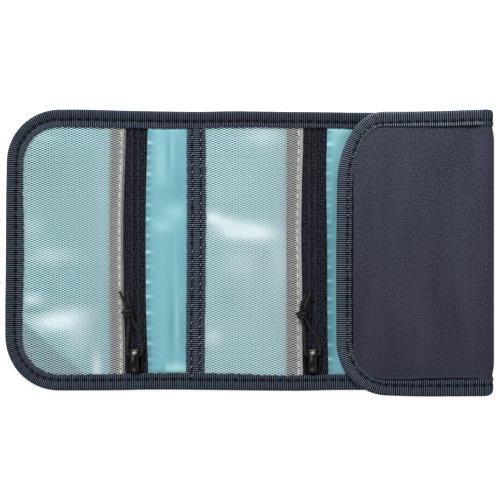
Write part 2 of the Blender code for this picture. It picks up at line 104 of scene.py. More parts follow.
# %% Helpers for meshes
bends = {
    "left fold": ("left_panel", "centre_panel", (fold_low, 0, 0), (fold_high, 0, 0)),
    "spine": ("centre_panel", "flap", (0, 0, spine_low_z), (0, 0, spine_high_z)),
}


def settle(piece, carrier, slot, *nodes):
    """Let a piece ride on a body, or for a fold bake its place into its mesh, and stand for its solids."""
    if carrier in bends:
        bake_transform(piece)
    else:
        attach(piece, carrier)
    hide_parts(*nodes)


def grid_faces(rows, columns, round_it=False):
    """Four-cornered faces between neighbours in a grid of points. A round grid closes on itself."""
    index = np.arange(rows * columns).reshape(rows, columns)
    if round_it:
        index = np.hstack([index, index[:, :1]])
    corners = [index[:-1, :-1], index[:-1, 1:], index[1:, 1:], index[1:, :-1]]
    return np.stack(corners, axis=-1).reshape(-1, 4)


def stacked(*values):
    """Arrays, stretched to one shape, as rows of points."""
    return np.stack(np.broadcast_arrays(*values), axis=-1).reshape(-1, len(values))


def grid_part(x, y, z, flip=False, flat=None):
    """A part from a grid of points. Flat is their place on the flat cloth, where it isn't x and y."""
    faces = grid_faces(*np.broadcast(x, y, z).shape)
    return stacked(x, y, z), faces[:, ::-1] if flip else faces, stacked(*(flat or (x, y))), 0


def new_piece(name, parts, finishes):
    """One object from its parts, each with one of the finishes."""
    points, faces, flat, number = zip(*parts)
    starts = np.cumsum([0] + [len(rows) for rows in points])
    data = bpy.data.meshes.new(name)
    moved = np.vstack([np.asarray(rows) + start for rows, start in zip(faces, starts)])
    data.from_pydata(np.vstack(points).tolist(), [], moved.tolist())
    data.polygons.foreach_set("material_index", np.repeat(number, [len(rows) for rows in faces]).tolist())
    corner = np.empty(len(data.loops), int)
    data.loops.foreach_get("vertex_index", corner)
    data.uv_layers.new(name="cloth_map").data.foreach_set("uv", np.vstack(flat)[corner, :2].ravel())
    data.shade_smooth()
    for finish in finishes:
        data.materials.append(finish)
    return add_object(name, data)


def add_object(name, data):
    item = bpy.data.objects.new(name, data)
    bpy.context.scene.collection.objects.link(item)
    return item


def places_of(piece):
    """The places of a piece's points, one row each."""
    places = np.empty(3 * len(piece.data.vertices))
    piece.data.vertices.foreach_get("co", places)
    return places.reshape(-1, 3)


def shade_points(piece, values):
    """Keep a map of painted light and shade on a piece's points, for its finish to read."""
    layer = piece.data.attributes.new("glare", "FLOAT", "POINT")
    layer.data.foreach_set("value", np.asarray(values, dtype=np.float32))


def shade_by(piece, shade, side):
    """Shade a piece by a function of its side and of where its points are in plan."""
    shade_points(piece, shade(side, *places_of(piece)[:, :2].T))


# %% Helpers for lines and formulas
def smoothstep(low, high, value):
    """0 below low, 1 above high, and an even rise between."""
    t = np.clip((value - low) / (high - low), 0, 1)
    return t * t * (3 - 2 * t)


def spread(low, high, step):
    """Even places from low to high, about a step apart."""
    return np.linspace(low, high, max(2, int(round((high - low) / step)) + 1))


def ripples(x, y, seed, count, longest, shortest):
    """A gentle uneven surface between -1 and 1: a few sine waves in chance directions."""
    chance = np.random.default_rng(seed)
    total = np.zeros(np.broadcast(x, y).shape)
    for _ in range(count):
        length = chance.uniform(shortest, longest)
        way = chance.uniform(0, math.pi)
        total = total + np.sin(
            2 * math.pi * (x * math.cos(way) + y * math.sin(way)) / length + chance.uniform(0, 2 * math.pi))
    return total / count


def spots(table, x, y):
    """Soft round spots added up, each with its place, width, height and strength."""
    total = np.zeros(np.broadcast(x, y).shape)
    for spot_x, spot_y, wide, tall, strength in table:
        total = total + strength * np.exp(-((x - spot_x) / wide) ** 2 - ((y - spot_y) / tall) ** 2)
    return total


def drifted(pairs, places):
    """A drift in metres at each place, from pairs in millimetres, with soft bends between them."""
    pairs = np.array(pairs) / 1000
    around = [np.interp(places + shift, pairs[:, 0], pairs[:, 1]) for shift in np.linspace(-0.006, 0.006, 7)]
    return np.mean(around, axis=0)


def squared(wave, power):
    """A wave whose rounds are drawn out towards a square."""
    return np.sign(wave) * np.abs(wave) ** power


def directions(line):
    """The way along a line at each of its points."""
    along = np.gradient(line, axis=0)
    return along / np.linalg.norm(along, axis=1)[:, None]


def distances(line):
    """How far along a line each of its points is."""
    return np.r_[0, np.cumsum(np.linalg.norm(np.diff(line, axis=0), axis=1))]


def even_steps(line, step):
    """The same line with its points an even step apart."""
    line = line[np.r_[True, np.linalg.norm(np.diff(line, axis=0), axis=1) > 1e-9]]
    far = distances(line)
    places = spread(0, far[-1], step)
    return np.stack([np.interp(places, far, line[:, k]) for k in range(3)], axis=1)


# %% [markdown]
# ## Finishes
# Cloth never has one even colour. A few effects are shared by all the finishes: a weave of crossing threads,
# loose fibres, lint, ribs and sewn rows. The ribs paint a highlight on each rib's top and shade in each gap,
# and the sewn rows paint shade in their furrows and needle holes. Each is a node group with its own inputs,
# so that one group serves a coarse ribbon and a fine satin alike. A value in a node tree can be used in a
# sum, which adds the Math nodes, so that each effect reads as its formula.

# %% Start the shared effects
class Value:
    """A value in a node tree, for use in sums."""

    def __init__(self, tree, socket):
        self.tree = tree
        self.socket = socket

    def do(self, operation, *others):
        return maths(self.tree, operation, self, *others)

    def __add__(self, other):
        return self.do("ADD", other)

    def __sub__(self, other):
        return self.do("SUBTRACT", other)

    def __rsub__(self, other):
        return maths(self.tree, "SUBTRACT", other, self)

    def __mul__(self, other):
        return self.do("MULTIPLY", other)

    def __truediv__(self, other):
        return self.do("DIVIDE", other)


def feed(tree, node, inputs):
    """Give a node its inputs, as values of the tree or as plain numbers."""
    for label, value in inputs.items():
        socket = node.inputs[label]
        if isinstance(value, Value):
            tree.links.new(value.socket, socket)
        else:
            socket.default_value = (*value, 1) if socket.type == "RGBA" else value


def place(tree, kind, inputs, output=0, **settings):
    """Add a node, and give the value at its output."""
    node = tree.nodes.new(kind)
    for key, value in settings.items():
        setattr(node, key, value)
    feed(tree, node, inputs)
    return Value(tree, node.outputs[output])


def maths(tree, operation, *values):
    return place(tree, "ShaderNodeMath", dict(enumerate(values)), operation=operation)


def blend_colours(tree, share, first, second):
    return place(tree, "ShaderNodeMix", {0: share, 6: first, 7: second}, 2, data_type="RGBA")


def split(tree, vector):
    """A vector's first two numbers."""
    return [place(tree, "ShaderNodeSeparateXYZ", {0: vector}, number) for number in (0, 1)]


def new_effect(build, **inputs):
    """A node group with a Vector and other inputs. Build makes its outputs from them."""
    group = bpy.data.node_groups.new(build.__name__, "ShaderNodeTree")
    group.interface.new_socket(name="Vector", in_out="INPUT", socket_type="NodeSocketVector")
    for label, value in inputs.items():
        socket = group.interface.new_socket(name=label, in_out="INPUT", socket_type="NodeSocketFloat")
        socket.default_value = value
    given = group.nodes.new("NodeGroupInput").outputs
    made = build(group, *[Value(group, given[label]) for label in ("Vector", *inputs)])
    for label in made:
        group.interface.new_socket(name=label, in_out="OUTPUT", socket_type="NodeSocketFloat")
    feed(group, group.nodes.new("NodeGroupOutput"), made)
    return group


# %% Threads, fibres and lint
def crossing_threads(tree, vector, threads):
    """A plain weave: over one thread and under the next, with a dip between them."""
    scaled = place(tree, "ShaderNodeVectorMath", {0: vector, "Scale": threads}, operation="SCALE")
    across, along = split(tree, scaled)
    over = (across.do("FLOOR") + along.do("FLOOR")).do("FLOORED_MODULO", 2.0)
    rises = [(way * math.pi).do("SINE").do("ABSOLUTE") for way in (across, along)]
    return {"Height": rises[0] * over + rises[1] * (1.0 - over)}


def loose_fibres(tree, vector, scale, detail):
    """Fine uneven fibres, for the tone and the height of any yarn."""
    noise = place(tree, "ShaderNodeTexNoise", {"Vector": vector, "Scale": scale, "Detail": detail})
    tone = place(tree, "ShaderNodeMapRange", {"From Min": 0.3, "From Max": 0.7, "Value": noise})
    return {"Tone": tone, "Height": noise}


def lint_specks(tree, vector, scale, amount):
    """A mask of small pale specks, thinly scattered."""
    far = place(tree, "ShaderNodeTexVoronoi", {"Vector": vector, "Scale": scale}, "Distance")
    return {"Mask": place(tree, "ShaderNodeClamp", {"Value": (amount - far) * 12.0})}


# %% Ribs and sewn rows
def ribs(tree, vector, pitch, gap):
    """Ribs across a ribbon: a painted highlight on each top, painted shade in each gap, and a chance strength
    of highlight for each rib.
    """
    count = split(tree, vector)[0] / pitch
    wave = (count * math.pi).do("SINE").do("ABSOLUTE")
    tops = {"Value": wave, "From Min": gap}
    return {
        "Top Mask": place(tree, "ShaderNodeMapRange", tops, interpolation_type="SMOOTHSTEP"),
        "Chance": place(tree, "ShaderNodeTexWhiteNoise", {"W": count.do("FLOOR")}, noise_dimensions="1D"),
    }


def sewn_row(tree, vector, pitch, row, reach, shift):
    """A sewn row's painted shade: a dark furrow along it, and darker shade in the hole wherever the needle
    went through.
    """
    far_along, far_across = split(tree, vector)
    phase = (far_along / pitch + shift).do("FRACT")
    along = phase.do("MINIMUM", 1.0 - phase) * pitch * 0.6
    sway = place(tree, "ShaderNodeTexNoise", {"Scale": 330.0, "Vector": vector})
    across = (far_across + (sway - 0.5) * 0.0012 - row).do("ABSOLUTE")
    far = (along * along + across * across).do("SQRT")
    return {
        label: (1.0 - distance / reach).do("MAXIMUM", 0.0).do("POWER", power)
        for distance, power, label in ((across, 1.0, "Furrow"), (far, 0.5, "Hole"))
    }


stitch_pitch = 0.0038
weave_group = new_effect(crossing_threads, Threads=2000.0)
fibre_group = new_effect(loose_fibres, Scale=3000.0, Detail=2.0)
lint_group = new_effect(lint_specks, Scale=1500.0, Amount=0.1)
rib_group = new_effect(ribs, Pitch=0.0009, Gap=0.84)
sewn_group = new_effect(sewn_row, Pitch=stitch_pitch, Place=0.004, Reach=0.0010, Shift=0.0)
print("shared effects", [group.name for group in bpy.data.node_groups])


# %% One function for every cloth finish
def effect(tree, group, vector, output, **inputs):
    return place(tree, "ShaderNodeGroup", {"Vector": vector, **inputs}, output, node_tree=group)


def new_finish(name):
    """A material, its tree and its shader."""
    finish = bpy.data.materials.new(name)
    finish.use_nodes = True
    return finish, finish.node_tree, finish.node_tree.nodes["Principled BSDF"]


def cloth_finish(
    name, dark, light, roughness=0.60, threads=9000.0, relief=0.00003, fibres=5000.0, tone=60.0, lint=0.0,
    sheen=0.0, shine=0.12, rib=None, rows=(), glare=None, grain=(0.5, 0.35, 0.15), bias=0.0, streak=1.0,
):
    """A cloth finish. Dark and light are the colours of the dips and the raised threads, threads is how many
    there are to the metre, and tone is how quickly the overall shade wanders, which streak draws out one way.
    Grain is how much weave, fibres and shade count, and bias is added to them. Rib is the pitch of ribs,
    which get a painted highlight on their tops and painted shade in their gaps, and rows are the places of
    sewn rows and how far each is shifted along, each with painted shade in its furrow and needle holes. Glare
    is the pale and the dark that the cloth's own map of painted light and shade mixes in."""
    finish, tree, shader = new_finish(name)
    where = place(tree, "ShaderNodeUVMap", {}, uv_map="cloth_map")
    drawn = place(tree, "ShaderNodeVectorMath", {0: where, 1: (1, streak, 1)}, operation="MULTIPLY")
    weave = effect(tree, weave_group, where, "Height", Threads=threads)
    fuzz = [effect(tree, fibre_group, where, label, Scale=fibres, Detail=3.0) for label in ("Tone", "Height")]
    shade = effect(tree, fibre_group, drawn, "Tone", Scale=tone)
    share = weave * grain[0] + fuzz[0] * grain[1] + shade * grain[2] + bias
    height = weave + fuzz[1] * 0.6
    tops = light
    # Rib tops get a painted highlight, stronger on some ribs than on others, and the gaps get painted shade.
    if rib:
        lively = effect(tree, rib_group, where, "Chance", Pitch=rib) * 0.35 + 0.60 + share * 0.45
        share = effect(tree, rib_group, where, "Top Mask", Pitch=rib) * lively
    # The glare map paints light and shade: values above zero mix in the first glare colour, values below zero
    # the second.
    if glare:
        mapped = place(tree, "ShaderNodeAttribute", {}, "Fac", attribute_name="glare")
        first_glare_share = mapped.do("MAXIMUM", 0.0)
        painted_shade_share = (mapped * -1.0).do("MAXIMUM", 0.0)
        tops = blend_colours(tree, first_glare_share, light, glare[0]) if rib else light
    colour = blend_colours(tree, share, dark, tops)
    # Each sewn row paints shade: a dark furrow, darker needle holes, and a wider soft roll of shade on either
    # side.
    for middle, shift in rows:
        furrow, hole = (
            effect(tree, sewn_group, where, label, Place=middle, Shift=shift) for label in ("Furrow", "Hole"))
        roll = effect(tree, sewn_group, where, "Furrow", Place=middle, Reach=0.0040)
        near = (furrow * 0.55).do("MAXIMUM", roll * 0.12).do("MAXIMUM", hole)
        colour = blend_colours(tree, near, colour, painted_shade_black)
    if lint:
        pale = tuple(min(1, v * 1.8 + 0.03) for v in light)
        specks = effect(tree, lint_group, where, "Mask", Scale=fibres * 0.35, Amount=lint)
        colour = blend_colours(tree, specks, colour, pale)
    if glare:
        colour = colour if rib else blend_colours(tree, first_glare_share, colour, glare[0])
        colour = blend_colours(tree, painted_shade_share, colour, glare[1])
    rough = {"Value": share, "To Min": roughness + 0.08, "To Max": roughness - 0.08}
    feed(tree, shader, {
        "Base Color": colour,
        "Roughness": place(tree, "ShaderNodeMapRange", rough),
        "Normal": place(tree, "ShaderNodeBump", {"Distance": relief, "Strength": 0.9, "Height": height}),
        "Sheen Weight": sheen,
        "Sheen Roughness": 0.4,
        "Specular IOR Level": shine,
    })
    return finish


# %% [markdown]
# The cloth colours are written once here. The navy pieces differ in thread: the outer cloth is a fine
# canvas with a speckled look, the edge ribbon is coarser and a little bluer, and the zip tape is nearly
# black. The lining is a satin, so it is less rough and has some sheen.

# %% Make the cloth finishes
rib_pitch = 0.00092
divider_rib = 0.00088
stitch_from_edge = 0.00465
divider_rows = [(-0.0017, 0.0), (0.0019, 0.45)]
# Black for painted shade in furrows, needle holes and seams.
painted_shade_black = (0.002, 0.002, 0.003)
navy_dark = (0.001, 0.002, 0.004)
ribbed = dict(roughness=0.70, threads=4800.0, relief=0.00004, fibres=2600.0, tone=140.0, shine=0.04)
satin = dict(threads=5200.0, relief=0.00002, fibres=1200.0, tone=25.0)
yarn = dict(threads=9000.0, relief=0.00002, fibres=2500.0, tone=22.0)
# The outer cloth's first glare colour is black for the painted shadow in the seam beside the flap's ribbon,
# and its second a darker navy for painted shade towards the bottom.
shell_cloth = cloth_finish(
    "shell_cloth", (0.002, 0.002, 0.006), (0.082, 0.085, 0.123), 0.85, threads=1450.0, relief=0.00008,
    fibres=1400.0, tone=70.0, lint=0.05, shine=0.06, grain=(0.25, 0.60, 0.18), streak=0.25,
    glare=(painted_shade_black, (0.014, 0.014, 0.020)))
# The edge ribbon's first glare colour is a painted highlight on its lit rim and lip, and its second black for
# painted shade.
edge_ribbon = cloth_finish(
    "edge_ribbon", navy_dark, (0.160, 0.205, 0.280), rib=rib_pitch, rows=[(stitch_from_edge, 0.0)],
    glare=((0.440, 0.530, 0.680), painted_shade_black), **ribbed)
divider_ribbon = cloth_finish(
    "divider_ribbon", navy_dark, (0.215, 0.275, 0.385), rib=divider_rib, rows=divider_rows, **ribbed)
zip_tape = cloth_finish(
    "zip_tape", (0.000, 0.000, 0.001), (0.050, 0.056, 0.076), 0.80, threads=1050.0, relief=0.00012,
    fibres=1700.0, tone=70.0, shine=0.02, grain=(1.1, 1.5, 0.0), bias=-1.25)
# On the satins and the net, the first glare colour is painted glare and sheen, and the second painted shade.
satin_lining = cloth_finish(
    "satin_lining", (0.120, 0.355, 0.410), (0.190, 0.455, 0.510), 0.36, sheen=0.15, shine=0.5,
    glare=((0.42, 0.70, 0.75), (0.05, 0.21, 0.27)), **satin)
pocket_satin = cloth_finish(
    "pocket_satin", (0.002, 0.085, 0.115), (0.008, 0.130, 0.170), 0.45, shine=0.2,
    glare=((0.84, 0.96, 0.97), (0.02, 0.06, 0.07)), **satin)
net_yarn = cloth_finish(
    "net_yarn", (0.520, 0.830, 0.880), (0.700, 0.960, 0.975), 0.50, shine=0.35,
    glare=((0.88, 0.98, 0.99), (0.46, 0.64, 0.68)), **yarn)
hem_yarn = cloth_finish("hem_yarn", (0.640, 0.668, 0.656), (0.905, 0.922, 0.905), 0.55, shine=0.25, **yarn)
navy_thread = cloth_finish("navy_thread", (0.001, 0.001, 0.002), (0.016, 0.018, 0.026), shine=0.05)
tape_thread = cloth_finish("tape_thread", (0.012, 0.011, 0.014), (0.100, 0.086, 0.102), shine=0.05)
# Pale specks of thread beside some needle holes.
pale_speck_thread = cloth_finish("pale_speck_thread", (0.200, 0.225, 0.275), (0.560, 0.600, 0.700), shine=0.05)
cream_thread = cloth_finish("cream_thread", (0.600, 0.590, 0.520), (0.880, 0.870, 0.780))
hook_tape = cloth_finish(
    "hook_tape", (0.006, 0.007, 0.009), (0.030, 0.032, 0.040), 0.85, threads=1500.0, relief=0.00010,
    fibres=4000.0, lint=0.06)
pull_cord = cloth_finish(
    "pull_cord", (0.001, 0.001, 0.001), (0.022, 0.021, 0.018), 0.55, threads=7000.0, fibres=6000.0,
    tone=200.0, shine=0.15)
print("cloth finishes", len(bpy.data.materials))

# %% [markdown]
# ## Cord pulls
# Each slider has a short length of thin braided cord. It starts at a free tail, runs through the knot, down
# past the crown, through its tunnel, back up, twice round in the knot, and out as the second tail. The route
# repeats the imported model's points, smoothed. The braid is real: two sets of strands wind round the tube in
# opposite ways and stand up a little where they show.

# %% Draw the two routes
cord_diameter = 0.0013
knot_turns = 2
knot_pitch = 0.0015
knot_clearance = 0.00028
knot_ease = 19
collar_half_width = 0.0015
knot_widening = 0.0006
knot_slant = 0.0004
left_run = [
    (-0.0067, 0.0280, 0.0004), (-0.0056, 0.0258, 0.0008), (-0.0045, 0.0236, 0.0012),
    (-0.0036, 0.0212, 0.0014), (-0.0031, 0.0190, 0.0014), (-0.0027, 0.0168, 0.0013),
    (-0.0023, 0.0146, 0.0009), (-0.0024, 0.0118, 0.0004), (-0.0027, 0.0088, 0.0002),
    (-0.0030, 0.0058, 0.0001), (-0.0032, 0.0028, 0.0000), (-0.0029, 0.0008, 0.0000),
    (-0.0020, 0.0000, 0.0000), (0.0000, 0.0000, 0.0000), (0.0020, 0.0000, 0.0000),
    (0.0029, 0.0008, 0.0000), (0.0032, 0.0028, 0.0000), (0.0029, 0.0060, 0.0001),
    (0.0020, 0.0090, 0.0003), (0.0008, 0.0118, 0.0006), (-0.0004, 0.0142, 0.0008),
    (-0.0011, 0.0165, 0.0004),
]
left_tail = [
    (-0.0022, 0.0219, 0.0023), (-0.0026, 0.0238, 0.0016), (-0.0030, 0.0259, 0.0009),
    (-0.0034, 0.0280, 0.0005),
]
centre_run = [
    (-0.0026, 0.0268, 0.0004), (-0.0034, 0.0250, 0.0008), (-0.0046, 0.0226, 0.0012),
    (-0.0050, 0.0202, 0.0014), (-0.0048, 0.0180, 0.0014), (-0.0045, 0.0158, 0.0013),
    (-0.0040, 0.0136, 0.0009), (-0.0036, 0.0112, 0.0004), (-0.0033, 0.0084, 0.0002),
    (-0.0031, 0.0056, 0.0001), (-0.0032, 0.0028, 0.0000), (-0.0029, 0.0008, 0.0000),
    (-0.0020, 0.0000, 0.0000), (0.0000, 0.0000, 0.0000), (0.0020, 0.0000, 0.0000),
    (0.0029, 0.0008, 0.0000), (0.0032, 0.0028, 0.0000), (0.0026, 0.0058, 0.0001),
    (0.0012, 0.0086, 0.0003), (-0.0004, 0.0110, 0.0006), (-0.0018, 0.0132, 0.0008),
    (-0.0028, 0.0154, 0.0004),
]
centre_tail = [
    (-0.0032, 0.0208, 0.0023), (-0.0027, 0.0226, 0.0017), (-0.0018, 0.0249, 0.0010),
    (-0.0010, 0.0271, 0.0006),
]


def smooth_line(points):
    """A smooth curve through the points."""
    points = np.array(points, float)
    ends = np.vstack([2 * points[0] - points[1], points, 2 * points[-1] - points[-2]])
    line = []
    for before, here, after, beyond in zip(ends, ends[1:], ends[2:], ends[3:]):
        for t in np.linspace(0, 1, 12, endpoint=False):
            line.append(
                here + (after - before) * t / 2
                + (2 * before - 5 * here + 4 * after - beyond) * t ** 2 / 2
                + (3 * here - before - 3 * after + beyond) * t ** 3 / 2)
    return np.array(line + [points[-1]])


def knot_line(low, high):
    """The turns of the knot, climbing round the run between two of its points."""
    low, high = np.array(low), np.array(high)
    axis = (high - low) / np.linalg.norm(high - low)
    side = np.cross(axis, (0, 0, 1))
    side = side / np.linalg.norm(side)
    share = np.linspace(0, 1, 12 * knot_turns + 1)[:, None]
    turn = 2 * math.pi * knot_turns * share
    climb = knot_turns * knot_pitch * (share - 0.5)
    ring = side * np.cos(turn) * (collar_half_width + knot_widening * smoothstep(0.2, 0.6, share))
    ring = ring + np.cross(side, axis) * np.sin(turn) * (cord_diameter + knot_clearance)
    return (low + high) / 2 + axis * (climb - knot_slant + np.cos(turn) * knot_slant) + ring


# %% Wind the braid round each route
braid_step = 0.00013
braid_sides = 20
braid_strands = 4
braid_turn = 0.0034
braid_rise = 0.00006
tunnel_from_end = 0.0028
tunnel_z = 0.00645


def carried_sides(along):
    """A direction square to a line at each point, carried along it without twist."""
    side = np.zeros_like(along)
    side[0] = np.cross(along[0], (0, 0, 1))
    side[0] /= np.linalg.norm(side[0])
    for i in range(1, len(along)):
        carried = side[i - 1] - along[i] * np.dot(side[i - 1], along[i])
        side[i] = carried / np.linalg.norm(carried)
    return side


def braided_tube(line, radius):
    """A tube round the line whose surface is two sets of crossing strands."""
    along = directions(line)
    side = carried_sides(along)
    up = np.cross(along, side)
    far = distances(line)[:, None]
    turn = np.linspace(0, 2 * math.pi, braid_sides, endpoint=False)[None, :]
    lead = 2 * math.pi * far / braid_turn
    strands = np.maximum(np.cos(braid_strands * turn + lead), np.cos(braid_strands * turn - lead))
    ends = np.clip(np.minimum(far, far[-1] - far) / (0.6 * radius), 0, 1)
    wide = (radius - braid_rise + 1.4 * braid_rise * strands) * np.sqrt(np.clip(1 - (1 - ends) ** 2, 0.04, 1))
    around = side[:, None] * np.cos(turn)[..., None] + up[:, None] * np.sin(turn)[..., None]
    points = line[:, None] + around * wide[..., None]
    faces = grid_faces(len(line), braid_sides, round_it=True)
    return points.reshape(-1, 3), faces, stacked(far, turn * radius), 0


def make_pull(side, run, tail):
    """One knotted pull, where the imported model's plain tube lies."""
    pull_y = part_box("slider_" + side)[1].y - tunnel_from_end
    line = even_steps(smooth_line(np.vstack([run, knot_line(run[5], run[3]), tail])), braid_step)
    even = np.ones(knot_ease) / knot_ease
    eased = [np.convolve(np.pad(c, knot_ease // 2, mode="edge"), even, mode="valid") for c in line.T]
    line = even_steps(np.stack(eased, axis=1), braid_step) + np.array((zips[side], pull_y, tunnel_z))
    piece = new_piece("cord_pull_" + side, [braided_tube(line, cord_diameter / 2)], [pull_cord])
    settle(piece, side + "_pull", "pull_cord", "pull_cord_" + side)


make_pull("left", left_run, left_tail)
make_pull("centre", centre_run, centre_tail)

# %% [markdown]
# ## Edge ribbon
# One ribbed ribbon is folded over the edge of every panel and sewn through with a single row. Seen from
# above it has three parts: a rounded outer band, the stitch groove, and a thin inner lip. It is made as a
# section that is carried along the edge in steps of a fifth of a rib, and every rib and needle hole is
# raised or sunk there. A texture could draw the ribs, but the rim of the wallet would then look smooth.

# %% Shape the ribbon
full_lip = 0.00245
rib_rise = 0.00010
rib_jag = 0.00016
spine_thickness = 0.0026
stitch_thread = 0.00034
rim_across = 0.0026
rim_power = 2.5
lip_shares = np.array([1.0, 0.97, 0.87, 0.67, 0.43, 0.25, 0.13, 0.0])
groove_places = np.array([-0.0004, -0.0008, -0.0012])
section_dips = np.array([0.42, 0.16, 0.04, 0.0, 0.02, 0.12, 0.26, 0.36, 0.24, 0.08, 0.0]) / 1000


def near_needle(far, shift=0.0):
    """1 at the needle holes along a sewn row, and 0 between them."""
    phase = (far / stitch_pitch + shift) % 1
    return np.exp(-((np.minimum(phase, 1 - phase)) / 0.14) ** 2)


def ribbon_section(thickness, needle, lip, jag):
    """Distances in from the edge and heights of one cross-section, from the upper lip round to the lower.
    Needle runs from 0 between two needle holes to 1 at one, lip is how far the ribbon goes on past its
    sewn row, and jag is how far this rib's end sticks out."""
    past_row = np.r_[lip * lip_shares, groove_places]
    dip = section_dips + np.exp(-(past_row / 0.0007) ** 2) * (0.00026 * needle - 0.00006)
    inward = stitch_from_edge + past_row + (jag - 0.0002 * needle) * smoothstep(0.6, 1.0, past_row / lip)
    turn = np.linspace(quarter, -quarter, 11)
    rim_in = rim_across * (1 - np.abs(np.cos(turn)) ** (2 / rim_power))
    rim_up = thickness / 2 * squared(np.sin(turn), 2 / rim_power)
    up = np.r_[thickness / 2 - dip, rim_up, dip[::-1] - thickness / 2]
    return np.stack([np.r_[inward, rim_in, inward[::-1]], up + thickness / 2], axis=1)


def ribbon_parts(outer, inward, up, thickness, lip, specked=False):
    """The ribbon and its stitches along stations on the outer edge. Each station has a point on the
    outer-cloth side, the way in from the edge, the way up to the lining, and the ribbon's thickness."""
    up = np.broadcast_to(up, outer.shape)
    far = distances(outer)
    needle = near_needle(far)
    rise = rib_rise * (np.abs(np.sin(math.pi * far / rib_pitch)) ** 0.8 * 2 - 1)
    jag = np.random.default_rng(len(outer)).uniform(-rib_jag, rib_jag, int(far[-1] / rib_pitch) + 2)
    rings, flats = [], []
    for i in range(len(outer)):
        flat = ribbon_section(thickness[i], needle[i], lip[i], jag[int(far[i] / rib_pitch)])
        slope = directions(flat)
        across, height = (flat + np.stack([slope[:, 1], -slope[:, 0]], axis=1) * rise[i]).T
        rings.append(outer[i] + inward[i] * across[:, None] + up[i] * height[:, None])
        flats.append(stacked(far[i], across))
    parts = [(np.vstack(rings), grid_faces(len(outer), len(rings[0]))[:, ::-1], np.vstack(flats), 0)]
    chance = np.random.default_rng(7)
    reach = int(0.36 * stitch_pitch / (far[1] - far[0]))
    for number in range(int(far[-1] / stitch_pitch)):
        middle = int(np.interp((number + 0.5) * stitch_pitch, far, np.arange(len(far))))
        span = np.arange(max(0, middle - reach), min(len(far) - 1, middle + reach) + 1, 3)
        row = outer[span] + inward[span] * stitch_from_edge
        sink = 0.00022 * np.linspace(-1, 1, len(span)) ** 4
        for lift in (thickness[span] - 0.00018 - sink, 0.00018 + sink):
            parts.append(stitch(row + up[span] * lift[:, None], 1))
        # Short pale specks of thread beside some needle holes.
        if specked and inward[span[0]][0] > 0.35 and chance.random() < 0.55:
            slant = np.linspace(-0.0004, 0.0004, 6)[:, None] * chance.uniform(0.3, 1.2)
            line = outer[span[0]] + inward[span[0]] * (stitch_from_edge + slant) - up[span[0]] * 0.00010
            line = line + (outer[span[0] + 1] - outer[span[0]]) * np.linspace(-1.5, 1.5, 6)[:, None]
            parts.append(stitch(line, 2, 0.00026))
    return parts


def light_map(parts, inward, lip, top_side, left_side, seam_shadow):
    """How much painted light or shade a ribbon gets at each point, for how the light falls on its top and
    left sides. Each side has one value for its rim, one for its band and one for its lip, and the last value
    is how dark the painted shadow at the lip's end is."""
    across = parts[0][2][:, 1]
    ring = len(across) // len(inward)
    downward, rightward = (np.repeat(np.clip(way, 0, 1), ring) for way in (-inward[:, 1], inward[:, 0]))
    rim = 1 - smoothstep(0.0004, 0.0012, across)
    on_lip = smoothstep(stitch_from_edge, stitch_from_edge + 0.0006, across)
    ending = smoothstep(-0.0007, -0.0002, across - stitch_from_edge - np.repeat(lip, ring)) * downward
    total = 0
    for side, way in ((top_side, downward), (left_side, rightward)):
        total = total + (side[0] * rim + side[1] * (1 - rim) * (1 - on_lip) + side[2] * on_lip) * way
    total = total * (1 - ending) - seam_shadow * ending
    return np.r_[total, np.zeros(sum(len(part[0]) for part in parts[1:]))]


def stitch(line, number, thick=stitch_thread):
    """One stitch: a short length of thread with round ends."""
    along = directions(line)
    side = np.cross(along, (0.13, 0.27, 0.95))
    side = side / np.linalg.norm(side, axis=1)[:, None]
    wide = thick / 2 * np.sqrt(np.clip(1 - np.linspace(-1, 1, len(line)) ** 6, 0.02, 1))
    turn = np.linspace(0, 2 * math.pi, 6, endpoint=False)[:, None]
    ring = side[:, None] * np.cos(turn) + np.cross(along, side)[:, None] * np.sin(turn)
    points = (line[:, None] + ring * wide[:, None, None]).reshape(-1, 3)
    return points, grid_faces(len(line), 6, round_it=True), points[:, :2], number


# %% Lay out the panels' outlines
left_corner = 0.0228
flap_top_corner = (0.0195, 0.0320)
flap_bottom_corner = (0.0210, 0.0228)
split_x = 0.070


def arc(x, y, across, along, start, end):
    """An arc in plan round a point, from one quarter turn to another."""
    turn = np.linspace(start * quarter, end * quarter, 90)
    return np.stack([x + across * np.cos(turn), y + along * np.sin(turn)], axis=1)


def three_sides(low, high, right, low_corner, high_corner):
    """A path along the bottom, left and top of a panel, with its two round corners."""
    return np.vstack([
        [(right, low.y)],
        arc(low.x + low_corner[0], low.y + low_corner[1], *low_corner, -1, -2),
        arc(low.x + high_corner[0], high.y - high_corner[1], *high_corner, 2, 1),
        [(right, high.y)],
    ])


round_corner = (left_corner, left_corner)
left_path = three_sides(panel_low, panel_high, split_x, round_corner, round_corner)
flap_path = three_sides(flap_low, flap_high, spine_x, flap_bottom_corner, flap_top_corner)
panel_drift = {
    "left": [(-45, 0.4), (-27, 0.6), (-10, 0.35), (10, 0.25), (30, 0.1), (38, -0.2), (48, 0.1)],
    "top": [(-90, 0.45), (-72, 0.6), (-58, 0.15), (-38, -0.25), (-20, -0.45), (-8, -0.1), (12, -0.4),
            (35, -0.6), (50, -0.9), (70, -1.0), (90, -0.6), (100, 0.0)],
    "bottom": [(-90, 0.45), (-58, 0.4), (-45, 0.05), (-28, 0.1), (0, 0.45), (22, 0.65), (35, 0.25),
               (70, 0.2), (90, 0.1), (100, 0.0)],
}
flap_drift = {
    "left": [(-40, 0.2), (-20, 0.35), (0, 0.3), (20, 0.1), (40, -0.2)],
    "top": [(40, -1.1), (60, -1.0), (72, -0.6), (86, -0.3), (95, 0.1), (100, 0.2)],
    "bottom": [(45, -0.1), (55, 0.1), (64, 0.5), (74, 0.7), (95, 0.6), (100, 0.5)],
}
